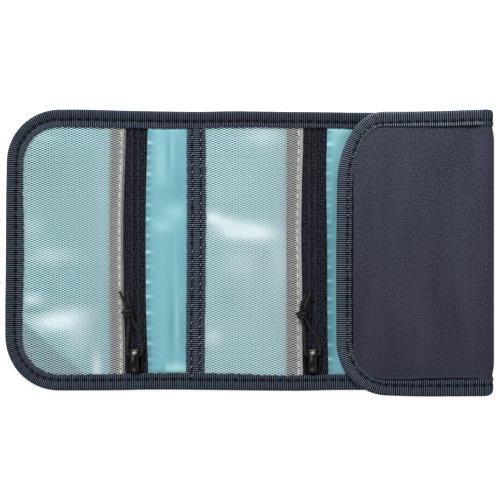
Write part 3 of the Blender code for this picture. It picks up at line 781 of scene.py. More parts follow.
panel_lip = {
    "left": [(-45, 0.35), (-33, 0.5), (-20, 0.75), (-6, 1.0), (8, 1.0), (15, 0.85), (21, 0.6), (28, 0.3),
             (42, 0.4)],
    "top": [(-90, 0.6), (-81, 0.6), (-69, 0.8), (-38, 0.5), (-8, 0.1), (13, 0.0)],
    "bottom": [(-90, 0.2), (-81, -0.1), (-68, 0.1), (-38, 0.35), (-8, 0.35), (13, -0.3), (40, 0.0)],
}


def ways_in(line):
    """The way in from the edge at each point of a clockwise line."""
    along = directions(line)
    return np.stack([along[:, 1], -along[:, 0], 0 * along[:, 0]], axis=1)


def wander(drift, line, inward):
    """A drift at each station, from what it is along the left, top and bottom sides."""
    total = 0
    for side, places, way in (
        ("left", line[:, 1], inward[:, 0]), ("top", line[:, 0], -inward[:, 1]),
        ("bottom", line[:, 0], inward[:, 1]),
    ):
        total = total + drifted(drift[side], places) * np.clip(way, 0, 1) ** 2
    return total


def flat_stations(path, drift):
    """Stations along a path in plan that runs clockwise round its panel, and their ways in. Drift says
    how far the sewn edge wanders outwards along its sides."""
    line = even_steps(np.c_[path, np.zeros(len(path))], rib_pitch / 5)
    inward = ways_in(line)
    line = even_steps(line - inward * wander(drift, line, inward)[:, None], rib_pitch / 5)
    return line, ways_in(line)


def thinned(full, start, end, x):
    """A thickness that goes over into the spine's between two distances from it."""
    return full + (spine_thickness - full) * smoothstep(spine_x - start, spine_x - end, x)


# %% Bind the panels, the flap and the spine
flap_lip = 0.00175
upward = np.array((0.0, 0.0, 1.0))


def flap_lip_at(x):
    """The flap's lip is narrower than the panels', but widens towards the spine."""
    return flap_lip + (full_lip - flap_lip) * smoothstep(0.050, 0.088, x)


def bind(name, parts, finishes, carrier, *nodes, shade=None):
    piece = new_piece(name, parts, finishes)
    if shade:
        shade_points(piece, light_map(parts, *shade))
    settle(piece, carrier, "edge_ribbon", *nodes)
    print(name, len(piece.data.polygons), "faces")
    return piece


def panel_edge(path):
    """The ribbon along one path round the panels, its ways in and its lip."""
    line, inward = flat_stations(path, panel_drift)
    lip = full_lip + wander(panel_lip, line, inward)
    thickness = thinned(panel_top, 0.0065, 0.0006, line[:, 0])
    return ribbon_parts(line, inward, upward, thickness, lip), inward, lip


def make_panel_ribbons():
    """One piece round the left panel and its fold, and one along the rest of the centre panel."""
    parts, inward, lip = panel_edge(left_path)
    # Painted light and shade: a lit rim and a shaded band along the top, and a shaded band and lighter lip on
    # the left.
    bind("ribbon_left", parts, [edge_ribbon, navy_thread], "left fold",
         "binding_left", "fold_binding_left_top", "fold_binding_left_bottom",
         shade=(inward, lip, (0.20, -0.28, 0.02), (-0.05, -0.12, 0.10), 0.0))
    ends = ([(spine_x, bottom), (split_x, bottom)], [(split_x, top), (spine_x, top)])
    parts = [part for path in ends for part in panel_edge(np.array(path))[0]]
    bind("ribbon_centre", parts, [edge_ribbon, navy_thread], "centre_panel",
         "binding_centre_top", "binding_centre_bottom")


def make_flap_ribbon():
    line, inward = flat_stations(flap_path, flap_drift)
    line[:, 2] = flap_high.z
    lip = flap_lip_at(line[:, 0])
    thickness = thinned(flap_high.z - flap_low.z, 0.0060, 0, line[:, 0])
    parts = ribbon_parts(line, inward, -upward, thickness, lip, specked=True)
    # Painted light: a bright rim and lip along the top and a lighter band and lip on the left, with a black
    # painted shadow at the lip's end along the top.
    piece = bind("ribbon_flap", parts, [edge_ribbon, navy_thread, pale_speck_thread], "flap", "binding_flap",
                 shade=(inward, lip, (0.75, 0.08, 0.85), (0.10, 0.22, 0.22), 0.8))
    piece.data.flip_normals()


def make_spine_ribbon():
    """The ribbon half round the spine, from the panel's edge below to the flap's edge above."""
    turn = np.linspace(-quarter, quarter, int(math.pi * spine_z / rib_pitch * 4) + 1)
    out = np.stack([np.cos(turn), 0 * turn, np.sin(turn)], axis=1)
    same = np.ones(len(turn))
    parts = []
    for way, panel_y, flap_y in ((1.0, top, flap_high.y + 0.0002), (-1.0, bottom, flap_low.y - 0.0005)):
        edge_y = panel_y + (flap_y - panel_y) * smoothstep(-1, 1, turn / quarter)
        line = out * spine_z + stacked(spine_x, edge_y, spine_z)
        inward = np.tile((0.0, -way, 0.0), (len(turn), 1))
        for points, faces, flat, number in ribbon_parts(
            line, inward, -out, same * spine_thickness, same * full_lip,
        ):
            parts.append((points, faces[:, ::-1] if way < 0 else faces, flat, number))
    bind("ribbon_spine", parts, [edge_ribbon, navy_thread], "spine",
         "fold_binding_right_top", "fold_binding_right_bottom")


make_panel_ribbons()
make_flap_ribbon()
make_spine_ribbon()

# %% [markdown]
# ## Outer cloth
# The back of the wallet is one length of navy canvas. It runs under both panels, up round the spine and over
# the flap, where the photograph shows it. It is cut in two pieces out of sight, so that each piece lies
# across only one fold. Each column of the grid runs between the panel's lower and upper edge, so that the
# cloth has the panel's own rounded corners.

# %% Find the panels' lower and upper edges
def left_span(x, inset=cloth_inset):
    """The lowest and highest place of the left and centre panels at each x, in from their edge."""
    radius = left_corner - inset
    reach = np.clip(left_edge + left_corner - x, 0, radius)
    drop = radius - np.sqrt(radius ** 2 - reach ** 2)
    return bottom + inset + drop, top - inset - drop


def flap_span(x, inset):
    """The lowest and highest place of the flap at each x, in from its edge."""
    ends = []
    for (wide, tall), edge, way in ((flap_bottom_corner, flap_low.y, 1), (flap_top_corner, flap_high.y, -1)):
        a, b = wide - inset, tall - inset
        reach = np.clip(flap_low.x + wide - x, 0, a)
        ends.append(edge + way * (inset + b - b * np.sqrt(1 - (reach / a) ** 2)))
    return ends


def column_grid(places, low, high, step):
    """Grid points in plan: a column at each x, running from its low to its high place."""
    count = max(3, int(round((high - low).max() / step)) + 1)
    y = low[:, None] + (high - low)[:, None] * np.linspace(0, 1, count)[None, :]
    return np.broadcast_to(places[:, None], y.shape), y


def panel_grid(left, right, step, rows=None):
    """A grid in plan over a stretch of the panels, with its lower and upper edge."""
    places = spread(left, right, step)
    low, high = left_span(places)
    return *column_grid(places, low, high, rows or step), low, high


def from_edges(x, y, low, high, left, right=1.0):
    """How far each grid point is from the nearest side of its sheet."""
    return np.minimum.reduce([y - low[:, None], high[:, None] - y, x - left, right - x])


# %% Cut the outer cloth
flap_cloth_inset = 0.0043
spine_bulge = 0.0009
cloth_step = 0.0010
flap_cloth_step = 0.0006
seam_from_cloth = 0.00205


def make_back_cloth():
    """The back of the left and centre panels, with the fold between them."""
    x, y, low, high = panel_grid(cloth_left, spine_x, cloth_step)
    inside = from_edges(x, y, low, high, cloth_left)
    z = 0.00062 - 0.00022 * smoothstep(0.001, 0.010, inside)
    z = z + 0.00008 * ripples(x, y, 5, 7, 0.060, 0.020) * smoothstep(0.002, 0.012, inside)
    z = np.where(x > spine_x - 0.006, z + (0.0005 - z) * smoothstep(spine_x - 0.006, spine_x, x), z)
    piece = new_piece("outer_cloth_back", [grid_part(x, y, z)], [shell_cloth])
    settle(piece, "left fold", "shell_cloth", "shell_left", "shell_centre", "fold_shell_left")
    print("outer_cloth_back", len(piece.data.polygons), "faces")


def make_flap_cloth():
    """The cloth round the spine and over the flap. It bulges a little at the spine, and dips into the seam
    beside the ribbon, which gets a painted shadow. The lower part gets a little painted shade, darker towards
    the bottom, as in the photograph."""
    radius = spine_z - 0.0005
    turn = np.linspace(-quarter, 0.93 * quarter, 26)
    over = spread(0, spine_x - flap_low.x - flap_cloth_inset, flap_cloth_step)[1:]
    arch_top = spine_z + radius * math.sin(turn[-1])
    x_places = np.r_[spine_x + radius * np.cos(turn), spine_x - over]
    low_flap, high_flap = flap_span(x_places, flap_cloth_inset)
    part = np.r_[smoothstep(-1, 1, turn / quarter), np.ones(len(over))]
    low = bottom + cloth_inset + (low_flap - bottom - cloth_inset) * part
    high = top - cloth_inset + (high_flap - top + cloth_inset) * part
    x, y = column_grid(x_places, low, high, flap_cloth_step)
    over_z = arch_top + (flap_high.z - 0.0003 - arch_top) * smoothstep(0, 0.008, over)
    z_line = np.r_[spine_z + radius * np.sin(turn), over_z]
    far = distances(np.stack([x_places, z_line], axis=1))
    past_spine = (far - far[len(turn) - 1])[:, None]
    inside = from_edges(x, y, low, high, flap_low.x + flap_cloth_inset)
    from_seam = inside - (
        seam_from_cloth + flap_lip_at(x) - flap_lip + 0.0002 * ripples(x, y, 15, 9, 0.012, 0.004))
    puff = 0.00080 * smoothstep(-0.0009, 0.0004, from_seam) - 0.00090
    puff = puff + 0.00065 * smoothstep(0.0015, 0.0100, inside)
    puff = puff + 0.00022 * ripples(x, y, 11, 6, 0.070, 0.028) * smoothstep(0.004, 0.016, inside)
    z = z_line[:, None] + puff * smoothstep(-0.001, 0.010, past_spine)
    from_ends = np.minimum(y - low[:, None], high[:, None] - y)
    round_part = np.r_[np.cos(turn), np.zeros(len(over))][:, None]
    x = x + spine_bulge * round_part * smoothstep(0.0005, 0.008, from_ends)
    part = grid_part(x, y, z, flip=True, flat=(far[:, None], y))
    piece = new_piece("outer_cloth_flap", [part], [shell_cloth])
    # Painted shadow in the seam beside the ribbon, a little weaker low down, and painted shade that grows
    # towards the bottom.
    fading = 0.0009 + 0.0006 * smoothstep(0.03, 0.05, y)
    seam_shadow = (1 - smoothstep(0.0002, fading, from_seam)) * smoothstep(0.0, 0.004, past_spine)
    seam_shadow = seam_shadow * (0.72 + 0.28 * smoothstep(-0.055, -0.045, y))
    lower = 0.36 * (1 - smoothstep(-0.050, 0.045, y))
    shade_points(piece, (seam_shadow - lower * (seam_shadow <= 0)).ravel())
    settle(piece, "spine", "shell_cloth", "shell_flap", "fold_shell_right")
    (high - low).max()
    print("outer_cloth_flap", len(piece.data.polygons), "faces")


make_back_cloth()
make_flap_cloth()

# %% [markdown]
# ## Satin linings
# A light blue satin lines every bay. Under the mesh it lies nearly flat, with soft wrinkles. The strips
# beside the zips are sewn along both sides, and the thread draws the cloth in, so that small puckers start
# at the stitches. A cloth simulation gives these: the strip is held only at its stitches and grows by a few
# thousandths, so that it has to buckle between them as the real one does.

# %% Map the painted glare and shade, in millimetres
# Each spot adds painted glare above zero or painted shade below zero, with a place, width, height and
# strength.
glare_spots = {
    "left": [(-93.6, -20.2, 4.2, 2.4, 0.75), (-84.5, -30.2, 10.5, 4.2, 1.05), (-76.0, -26.5, 8.5, 3.6, 0.40),
             (-93.5, -25.0, 6.0, 1.5, -0.40), (-85.0, -1.6, 10.0, 3.6, 0.42), (-88.5, 49.0, 6.0, 3.0, 0.30),
             (-65.8, -50.5, 1.8, 7.0, 0.75), (-74.0, -37.0, 6.0, 8.0, 0.35), (-94.0, 11.0, 5.0, 4.0, 0.25),
             (-90.0, 36.0, 16.0, 13.0, -0.34), (-62.0, 20.0, 6.0, 40.0, 0.10)],
    "centre": [(-15.8, 15.0, 3.6, 2.6, 0.85), (-5.0, 9.4, 8.6, 3.8, 1.15), (5.5, 8.0, 7.0, 4.0, 0.60),
               (-10.8, 13.0, 4.6, 2.4, 0.60), (-2.0, 0.0, 60.0, 90.0, 0.16), (5.3, 50.4, 7.5, 4.5, 0.42),
               (13.5, -4.2, 4.5, 13.0, 0.28), (-16.5, -36.5, 4.2, 3.6, 0.40), (-4.0, -5.0, 7.0, 6.0, 0.20),
               (-6.0, 28.0, 9.0, 6.0, 0.06), (-10.0, -20.0, 6.0, 8.0, -0.10)],
}
# The strips' spots: painted highlights on the satin above zero, painted shade below zero.
strip_spots = {
    "left": [(-32.0, 17.5, 4.5, 3.5, 0.45), (-37.5, 11.5, 5.0, 3.0, 0.42), (-38.0, 38.0, 2.6, 12.0, 0.35),
             (-31.5, -49.8, 5.0, 2.2, 0.75), (-37.2, -50.0, 0.9, 2.5, -0.45), (-37.0, 25.0, 4.0, 3.0, -0.18),
             (-34.9, 43.0, 0.9, 8.0, -0.40), (-33.4, 43.0, 0.8, 8.0, 0.22), (-29.8, 40.0, 2.4, 10.0, -0.22),
             (-29.6, 28.0, 2.8, 6.0, -0.42), (-28.9, -4.0, 1.9, 14.0, -0.26), (-32.0, -6.0, 1.0, 16.0, 0.16),
             (-33.6, -32.0, 1.3, 13.0, -0.40), (-31.3, -30.0, 1.0, 12.0, 0.24),
             (-28.9, -34.0, 1.5, 11.0, -0.50)],
    "centre": [(36.0, 48.0, 4.0, 8.0, 0.25), (33.8, -4.0, 3.0, 22.0, -0.42), (34.0, -36.0, 3.4, 14.0, -0.45),
               (38.5, -20.0, 2.0, 30.0, 0.25)],
}
shade_corner_start = np.array((-0.0970, -0.0297))
shade_corner_out = np.array((-0.645, -0.764))


def pocket_glare(side, x, y):
    """Where a pocket's cloth gets painted glare (above 0) or painted grey shade (below 0). The left pocket
    has one corner of painted shade with a clean edge."""
    total = spots(glare_spots[side], x * 1000, y * 1000)
    if side == "left":
        past = (x - shade_corner_start[0]) * shade_corner_out[0] + (y - shade_corner_start[1]) * shade_corner_out[1]
        painted_shade_share = smoothstep(-0.0003, 0.0012, past)
        total = total * (1 - painted_shade_share) - 0.85 * painted_shade_share
    return np.clip(total, -1, 1)


# %% Simulate a strip that is sewn at both sides
strip_boxes = {side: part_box("lining_strip_" + side) for side in zips}
pin_reach = 0.00075
strip_growth = 0.004
strip_folds = {"left": (71, 0.00048), "centre": (72, 0.00036)}
strip_drift = {
    "left": [(-50, 1.5), (-40, 1.1), (-33, 0.8), (-20, 0.5), (0, 0.4), (20, 0.45), (35, 0.75), (42, 1.05),
             (52, 1.25)],
    "centre": [(-50, 1.8), (-38, 1.4), (-10, 1.3), (8, 1.25), (21, 0.95), (35, 0.85), (42, 0.95), (52, 1.3)],
}
strip_frames = 26
most_rise = 0.0011
cloth_settings = dict(
    quality=6, mass=0.15, tension_stiffness=12, compression_stiffness=12, shear_stiffness=4,
    bending_stiffness=0.05, shrink_min=-strip_growth, shrink_max=-strip_growth, vertex_group_mass="stitches",
)


def simulate_puckers(piece, held, keep):
    """Let the cloth grow while its stitches hold it, and keep the shape that it buckles into. Keep is
    the share of that shape that stays at each point."""
    pins = piece.vertex_groups.new(name="stitches")
    pins.add([int(i) for i in np.nonzero(held)[0]], 1.0, "REPLACE")
    rest = np.array([v.co for v in piece.data.vertices])
    cloth = piece.modifiers.new("cloth", "CLOTH")
    for key, value in cloth_settings.items():
        setattr(cloth.settings, key, value)
    cloth.settings.effector_weights.gravity = 0
    cloth.point_cache.frame_end = strip_frames
    for number in range(1, strip_frames + 1):
        bpy.context.scene.frame_set(number)
    seen = piece.evaluated_get(bpy.context.evaluated_depsgraph_get())
    shift = np.array([v.co for v in seen.data.vertices]) - rest
    piece.modifiers.remove(cloth)
    bpy.context.scene.frame_set(1)
    shift[:, 2] = np.abs(shift[:, 2])
    far = np.linalg.norm(shift, axis=1)[:, None]
    shift = shift * np.minimum(1, most_rise / np.maximum(far, 1e-9)) * keep[:, None]
    piece.data.vertices.foreach_set("co", (rest + shift).ravel())
    piece.data.update()
    return float(far.max())


def add_subdivision(piece):
    """One level of smoothing, made part of the mesh."""
    smooth = piece.modifiers.new("smooth", "SUBSURF")
    smooth.levels = 1
    with bpy.context.temp_override(object=piece, active_object=piece, selected_objects=[piece]):
        bpy.ops.object.modifier_apply(modifier=smooth.name)


def pucker_wave(side, y, shift=0.0):
    """How far a strip's side is raised at each height, where the thread draws it in. Every second
    pucker is harder than the next."""
    chance = np.random.default_rng(90 + len(side))
    places = np.arange(bottom, top, 0.0033)
    count = len(places)
    places = places + chance.uniform(-0.0006, 0.0006, count)
    hard = 0.65 + 0.35 * np.cos(math.pi * np.arange(count)) + chance.uniform(-0.25, 0.25, count)
    wave = np.zeros(y.shape)
    for middle, strength in zip(places, hard):
        wave = wave + strength * np.exp(-((y - middle - shift) / 0.0008) ** 2)
    return wave


def strip_glare(side, x, y):
    """Where a lining strip gets painted highlights, at its puckers and on the satin, or painted shade, in its
    folds and along its seams.
    """
    total = 0.12 * ripples(x, y * 0.15, 83, 6, 0.016, 0.005)
    # Painted shade along the left seam and a painted glint at each pucker, and on the left strip the same
    # along the right seam.
    from_left = x - strip_boxes[side][0].x - drifted(strip_drift[side], y)
    total = total - 0.80 * np.exp(-(from_left / 0.0022) ** 2)
    total = total + 1.35 * pucker_wave(side, y) * np.exp(-(from_left / 0.0021) ** 2)
    if side == "left":
        from_right = strip_boxes[side][1].x - x
        total = total - 0.45 * np.exp(-(from_right / 0.0016) ** 2)
        total = total + 0.95 * pucker_wave(side, y, 0.0015) * np.exp(-(from_right / 0.0014) ** 2)
    return np.clip(total + spots(strip_spots[side], x * 1000, y * 1000), -1, 1)


def make_strip(side, right, step):
    """A lining strip from the zip's edge to the next seam, which flattens out close to the spine."""
    name = "lining_strip_beside_zip_" + side
    left = strip_boxes[side][0].x
    x, y, low, high = panel_grid(left, right, step)
    from_seam = np.minimum(x - left, right - x)
    from_ends = np.minimum(y - low[:, None], high[:, None] - y)
    base = net_low + 0.00012
    seed, fold_height = strip_folds[side]
    long_folds = 0.00050 + fold_height * ripples(x, y * 0.08, seed, 6, 0.014, 0.0055)
    start = smoothstep(0.0, 0.0030, from_seam) * long_folds
    pleats = 0.00055 * pucker_wave(side, y)
    start = start + pleats * np.exp(-(from_seam / 0.0015) ** 2) * smoothstep(0.0, 0.0005, from_seam)
    start = start * smoothstep(0.0012, 0.0042, from_ends)
    z = base - 0.00030 + np.where(x > spine_x - 0.0065, 0.0003, start)
    z = z + (0.0024 - base) * smoothstep(spine_x - 0.0060, spine_x - 0.0004, x)
    moved_x = x + drifted(strip_drift[side], y) * (1 - smoothstep(0.0, 0.006, x - left))
    piece = new_piece(name, [grid_part(moved_x, y, z, flat=(x, y))], [satin_lining])
    stitched = (np.abs((y / stitch_pitch) % 1 - 0.5) > 0.28) & (from_seam < pin_reach)
    ends = (y - low.min() < pin_reach) | (high.max() - y < pin_reach)
    seam = (from_seam < 0.3 * step) & (x - left > (right - left) / 2)
    held = stitched | ends | seam | (moved_x > spine_x - 0.0065)
    keep = (0.35 + 0.65 * np.exp(-(from_seam / 0.0030) ** 2)) * smoothstep(0.0008, 0.0035, from_ends)
    moved = simulate_puckers(piece, held.ravel(), keep.ravel())
    add_subdivision(piece)
    # Painted highlights and shade from the strip's map.
    shade_by(piece, strip_glare, side)
    settle(piece, side + "_panel", "satin_lining", "lining_strip_" + side)
    print(name, "rose by", round(moved, 5))


make_strip("left", strip_boxes["left"][1].x, 0.00072)
make_strip("centre", spine_x, 0.00115)

# %% [markdown]
# The linings behind the mesh, under the flap and round the spine are hardly seen, so a formula bends them.

# %% Make the remaining linings
lining_step = 0.0011
pocket_lining_z = 0.0040
deep_lining_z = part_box("lining_left")[1].z
flap_lining_step = 0.0016


def make_fold_lining():
    """The lining between the two panels, under the divider ribbon."""
    x, y, _, _ = panel_grid(fold_low, fold_high, 0.0008, 0.0015)
    z = pocket_lining_z + (deep_lining_z - pocket_lining_z) * (1 - smoothstep(fold_x, fold_high, x))
    piece = new_piece("lining_in_fold", [grid_part(x, y, z)], [satin_lining])
    settle(piece, "left fold", "satin_lining", "fold_lining_left")


def make_pocket_lining(side, left, right, **more):
    """The lining behind one mesh pocket, which dips under the zip's tape."""
    tape_x = tapes[side][0].x
    x, y, low, high = panel_grid(left, right, lining_step)
    under_tape = smoothstep(tape_x - 0.0045, tape_x - 0.0015, x)
    z = pocket_lining_z + (deep_lining_z - pocket_lining_z) * under_tape
    loose = smoothstep(0.001, 0.009, from_edges(x, y, low, high, left)) * (1 - under_tape)
    z = z + loose * (0.00022 * ripples(x, y, 21 + len(side), 9, 0.050, 0.012) + 0.0001)
    z = z + loose * 0.00035 * pocket_glare(side, x, y)
    z = np.where(x > spine_x - 0.004, z + (0.0023 - z) * smoothstep(spine_x - 0.004, spine_x, x), z)
    piece = new_piece(f"lining_{side}_panel", [grid_part(x, y, z)], [pocket_satin])
    # Painted glare and shade from the pocket's map.
    shade_by(piece, pocket_glare, side)
    settle(piece, side + "_panel", "satin_lining", "lining_" + side)


def make_flap_lining():
    """The lining round the inside of the spine and under the flap, in two pieces."""
    radius = spine_z - 0.0024
    turn = np.linspace(-quarter, quarter, 20)[:, None]
    y = spread(bottom + cloth_inset, top - cloth_inset, 0.002)[None, :]
    part = grid_part(
        spine_x + radius * np.cos(turn), y, spine_z + radius * np.sin(turn), flat=(turn * radius, y))
    piece = new_piece("lining_in_spine", [part], [satin_lining])
    settle(piece, "spine", "satin_lining", "fold_lining_right")
    x_places = spread(flap_low.x + cloth_inset, spine_x, flap_lining_step)
    low, high = flap_span(x_places, cloth_inset)
    x, y = column_grid(x_places, low, high, flap_lining_step)
    inside = from_edges(x, y, low, high, flap_low.x + cloth_inset)
    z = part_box("lining_flap")[0].z - 0.00006
    z = z + 0.0001 * ripples(x, y, 41, 9, 0.05, 0.014) * smoothstep(0.001, 0.010, inside)
    z = z + (2 * spine_z - 0.0024 - z) * smoothstep(spine_x - 0.006, spine_x, x)
    piece = new_piece("lining_under_flap", [grid_part(x, y, z, flip=True)], [satin_lining])
    settle(piece, "flap", "satin_lining", "lining_flap")


make_fold_lining()
make_pocket_lining("left", cloth_left, fold_low, with_pieces=["lining_in_fold"])
make_pocket_lining("centre", fold_high, spine_x)
make_flap_lining()
print("linings made")

# %% [markdown]
# ## Mesh pockets
# The pockets are a knitted net. Its holes stand in columns, and each column is shifted by half a hole, so
# that the yarn between them makes wavy lines. A transparent texture would be quicker, but a true net with
# holes shades the lining behind it as the real one does. Each hole is a six-sided cell with a smaller
# six-sided opening, whose edge turns down to give the yarn some body.

# %% Knit the net
hole_across = 0.00243
hole_along = 0.00100
cell_side = 0.00011
cell = np.array([
    (hole_across / 2, cell_side), (0, hole_along / 2 - cell_side), (-hole_across / 2, cell_side),
    (-hole_across / 2, -cell_side), (0, cell_side - hole_along / 2), (hole_across / 2, -cell_side),
])
hole_shape = np.array([(0.70, 0.09), (0.0, 0.31), (-0.70, 0.09), (-0.70, -0.09), (0.0, -0.31), (0.70, -0.09)])
hole_shape = hole_shape / 1000
yarn_rise = 0.00010
yarn_depth = 0.00016
hem_width = 0.0027
stitch_from_hem = 0.0018
cells_join_within = 0.000004
net_drift = {
    "left": [(-50, 0.45), (-40, 0.5), (-34, 0.3), (-26, 0.0), (-13, -0.17), (0, -0.36), (15, -0.34),
             (28, 0.0), (35, 0.3), (42, 0.55), (50, 0.8)],
    "centre": [(-50, 0.7), (-40, 0.35), (-13, 0.3), (-6, 0.17), (1, 0.0), (8, -0.09), (21, 0.09), (35, 0.34),
               (42, 0.65), (50, 0.8)],
}


def net_height(x, y, left, right, seed):
    """How the net lies: held down at its seams, loose and a little wavy between them."""
    low, high = left_span(x)
    loose = smoothstep(0.0, 0.014, np.minimum.reduce([x - left, right - x, y - low, high - y]))
    return net_low + 0.00010 + loose * (0.00042 + 0.00034 * ripples(x, y, seed, 7, 0.070, 0.022))


def net_parts(start, end, open_by, number, left, right, side, seed):
    """The cells of a net's columns from start to end, opened by a factor, inside the panel's edge."""
    columns = np.arange(math.ceil(start / (hole_across / 2)), math.ceil(end / (hole_across / 2)))
    rows = np.arange(math.ceil(bottom / hole_along), math.floor(top / hole_along) + 1)
    i, j = np.meshgrid(columns, rows, indexing="ij")
    middle = stacked(i * hole_across / 2, j * hole_along + (i % 2) * hole_along / 2)
    low, high = left_span(middle[:, 0])
    middle = middle[(middle[:, 1] > low) & (middle[:, 1] < high) & (middle[:, 0] > cloth_left)]
    hole = hole_shape * open_by
    rings = []
    for shape, rise, edge in ((cell, yarn_rise, 0.0), (hole, 0.0, 0.00025), (hole, -yarn_depth, 0.00025)):
        x = np.minimum(middle[:, :1] + shape[:, 0], right - edge)
        y = middle[:, 1:] + shape[:, 1]
        z = net_height(np.clip(x, left, right), y, left, right, seed) + rise
        x = x + drifted(net_drift[side], y) * smoothstep(right - 0.014, right, x)
        rings.append(np.stack([x, y, z], axis=-1))
    points = np.stack(rings, axis=1).reshape(-1, 3)
    k = np.arange(6)
    after = (k + 1) % 6
    one_cell = np.vstack([np.stack([k, after, after + 6, k + 6], axis=1) + ring for ring in (0, 6)])
    faces = (np.arange(len(middle))[:, None, None] * 18 + one_cell).reshape(-1, 4)
    return points, faces, points[:, :2], number


def merge_points(piece):
    """Join the cells where they meet."""
    bm = bmesh.new()
    bm.from_mesh(piece.data)
    bmesh.ops.remove_doubles(bm, verts=bm.verts, dist=cells_join_within)
    bm.to_mesh(piece.data)
    bm.free()


def make_net(side, left, right, seed):
    """One pocket: the net, its doubled hem, a firm edge and the pale row of stitches along the hem."""
    hem_from = right - hem_width
    band_from = tapes[side][0].x + 0.0006
    zones = ((left, band_from, 1.08, 0), (band_from, hem_from, 1.23, 2), (hem_from, right, 1.10, 2))
    parts = [net_parts(*zone, left, right, side, seed) for zone in zones]
    chance = np.random.default_rng(seed)
    even = np.linspace(-1, 1, 9)
    for y in np.arange(bottom + cloth_inset + 0.001, top - cloth_inset - stitch_pitch, stitch_pitch):
        places = np.linspace(y, y + chance.uniform(0.45, 0.75) * stitch_pitch, 9)
        pull = drifted(net_drift[side], places) + even * chance.uniform(-0.00025, 0.00010)
        x = right - stitch_from_hem + pull
        z = net_height(x, places, left, right, seed) + 0.00042 - 0.00016 * even ** 4
        parts.append(stitch(stacked(x, places, z), 1, 0.00052))
    piece = new_piece("mesh_net_" + side, parts, [net_yarn, cream_thread, hem_yarn])
    merge_points(piece)
    # Painted glare in pale patches and painted shade in grey ones.
    shade_by(piece, pocket_glare, side)
    settle(piece, side + "_panel", "pocket_mesh", "mesh_pocket_" + side)
    print("mesh_net_" + side, len(piece.data.polygons), "faces")


make_net("left", cloth_left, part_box("mesh_pocket_left")[1].x, 51)
make_net("centre", *[corner.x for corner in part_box("mesh_pocket_centre")], 52)

# %% [markdown]
# ## Zips
# These are reversed coil zips: the tapes show their flat backs, and the coils lie underneath. Over each
# coil the tape rises in a long low ridge with a row of small thread loops. The coil itself is a
# nylon thread that loops across its tape once every millimetre.

# %% Weave the tapes
tape_width = 0.0110
slit_gap = 0.00006
ridge_from_slit = 0.0013
loop_pitch = 0.0010


def make_tape(side, half, way):
    """One half of a zip's tape, from the slit out."""
    node = f"zip_tape_{side}_{half}"
    across = np.r_[0, 0.00012, np.linspace(0.0003, 0.0036, 16), np.linspace(0.0042, tape_width, 9)]
    y_places = spread(bottom + cloth_inset, top - cloth_inset, 0.00034)
    u, y = np.meshgrid(across, y_places, indexing="ij")
    z = tape_top - 0.0001 + 0.00030 * np.exp(-((u - ridge_from_slit) / 0.0010) ** 2)
    z = z - 0.00018 * (1 - smoothstep(0, 0.00025, u))
    z = z + 0.00006 * np.sin(2 * math.pi * (y / 0.0011 + u / 0.0009)) * smoothstep(0.0003, 0.0008, u)
    z = z + 0.00008 * ripples(u, y, 61 + len(node), 5, 0.040, 0.015) * smoothstep(0.002, 0.006, u)
    parts = [grid_part(zips[side] + way * (slit_gap + u), y, z, flip=way < 0)]
    even = np.linspace(-1, 1, 5)
    line_x = zips[side] + way * (slit_gap + ridge_from_slit + 0.00034 * even)
    lift = tape_top + 0.00016 - 0.00008 * even ** 4
    for middle in np.arange(y_places[0], y_places[-1], loop_pitch):
        parts.append(stitch(stacked(line_x, middle + 0.0002 * even, lift), 1, 0.00036))
    piece = new_piece(f"tape_{side}_{half}", parts, [zip_tape, tape_thread])
    settle(piece, side + "_panel", "zip_tape", node)


halves = [(side, half, way) for side in zips for half, way in (("pocket", -1), ("strip", 1))]
for one in halves:
    make_tape(*one)
print("tapes made")

# %% Wind the coils
coil_thread = 0.00016
coil_nylon, tree, shader = new_finish("coil_nylon")
where = place(tree, "ShaderNodeTexCoord", {}, "Object")
tone = effect(tree, fibre_group, where, "Tone", Scale=900.0)
coil_colour = blend_colours(tree, tone, (0.006, 0.006, 0.008), (0.022, 0.023, 0.028))
feed(tree, shader, {"Base Color": coil_colour, "Roughness": tone * 0.15 + 0.32})


def make_coil(side, half, way):
    """The teeth of one half: one nylon thread looped over and over, flattened to the coil's height."""
    low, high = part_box(f"zip_coil_{side}_{half}")
    turns = int((high.y - low.y) / loop_pitch)
    angle = np.linspace(0, 2 * math.pi * turns, 10 * turns + 1)
    x = (low.x + high.x) / 2 + ((high.x - low.x) / 2 - coil_thread) * squared(np.cos(angle), 0.7)
    z = (low.z + high.z) / 2 + ((high.z - low.z) / 2 - coil_thread) * np.sin(angle)
    y = low.y + angle / (2 * math.pi) * loop_pitch + (0.5 * loop_pitch if way > 0 else 0)
    shape = bpy.data.curves.new(f"coil_{side}_{half}", "CURVE")
    shape.dimensions = "3D"
    shape.bevel_depth = coil_thread
    shape.bevel_resolution = 1
    shape.use_fill_caps = True
    spline = shape.splines.new("POLY")
    spline.points.add(len(angle) - 1)
    spline.points.foreach_set("co", stacked(x, y, z, 1.0).ravel())
    shape.materials.append(coil_nylon)
    piece = add_object(f"coil_{side}_{half}", shape)
    settle(piece, side + "_panel", "coil_nylon", f"zip_coil_{side}_{half}")


for one in halves:
    make_coil(*one)
print("coils made")

# %% [markdown]
# ## Divider ribbon
# A second ribbed ribbon is sewn flat over the fold between the panels, with a row of stitches near each side.
# It has a few pale thread specks.

# %% Sew the divider
divider_low, divider_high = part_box("divider_tape")
divider_drift = [(-50, -0.2), (-33, -0.2), (-15, 0.1), (0, 0.15), (15, 0.25), (35, 0.2), (50, 0.1)]


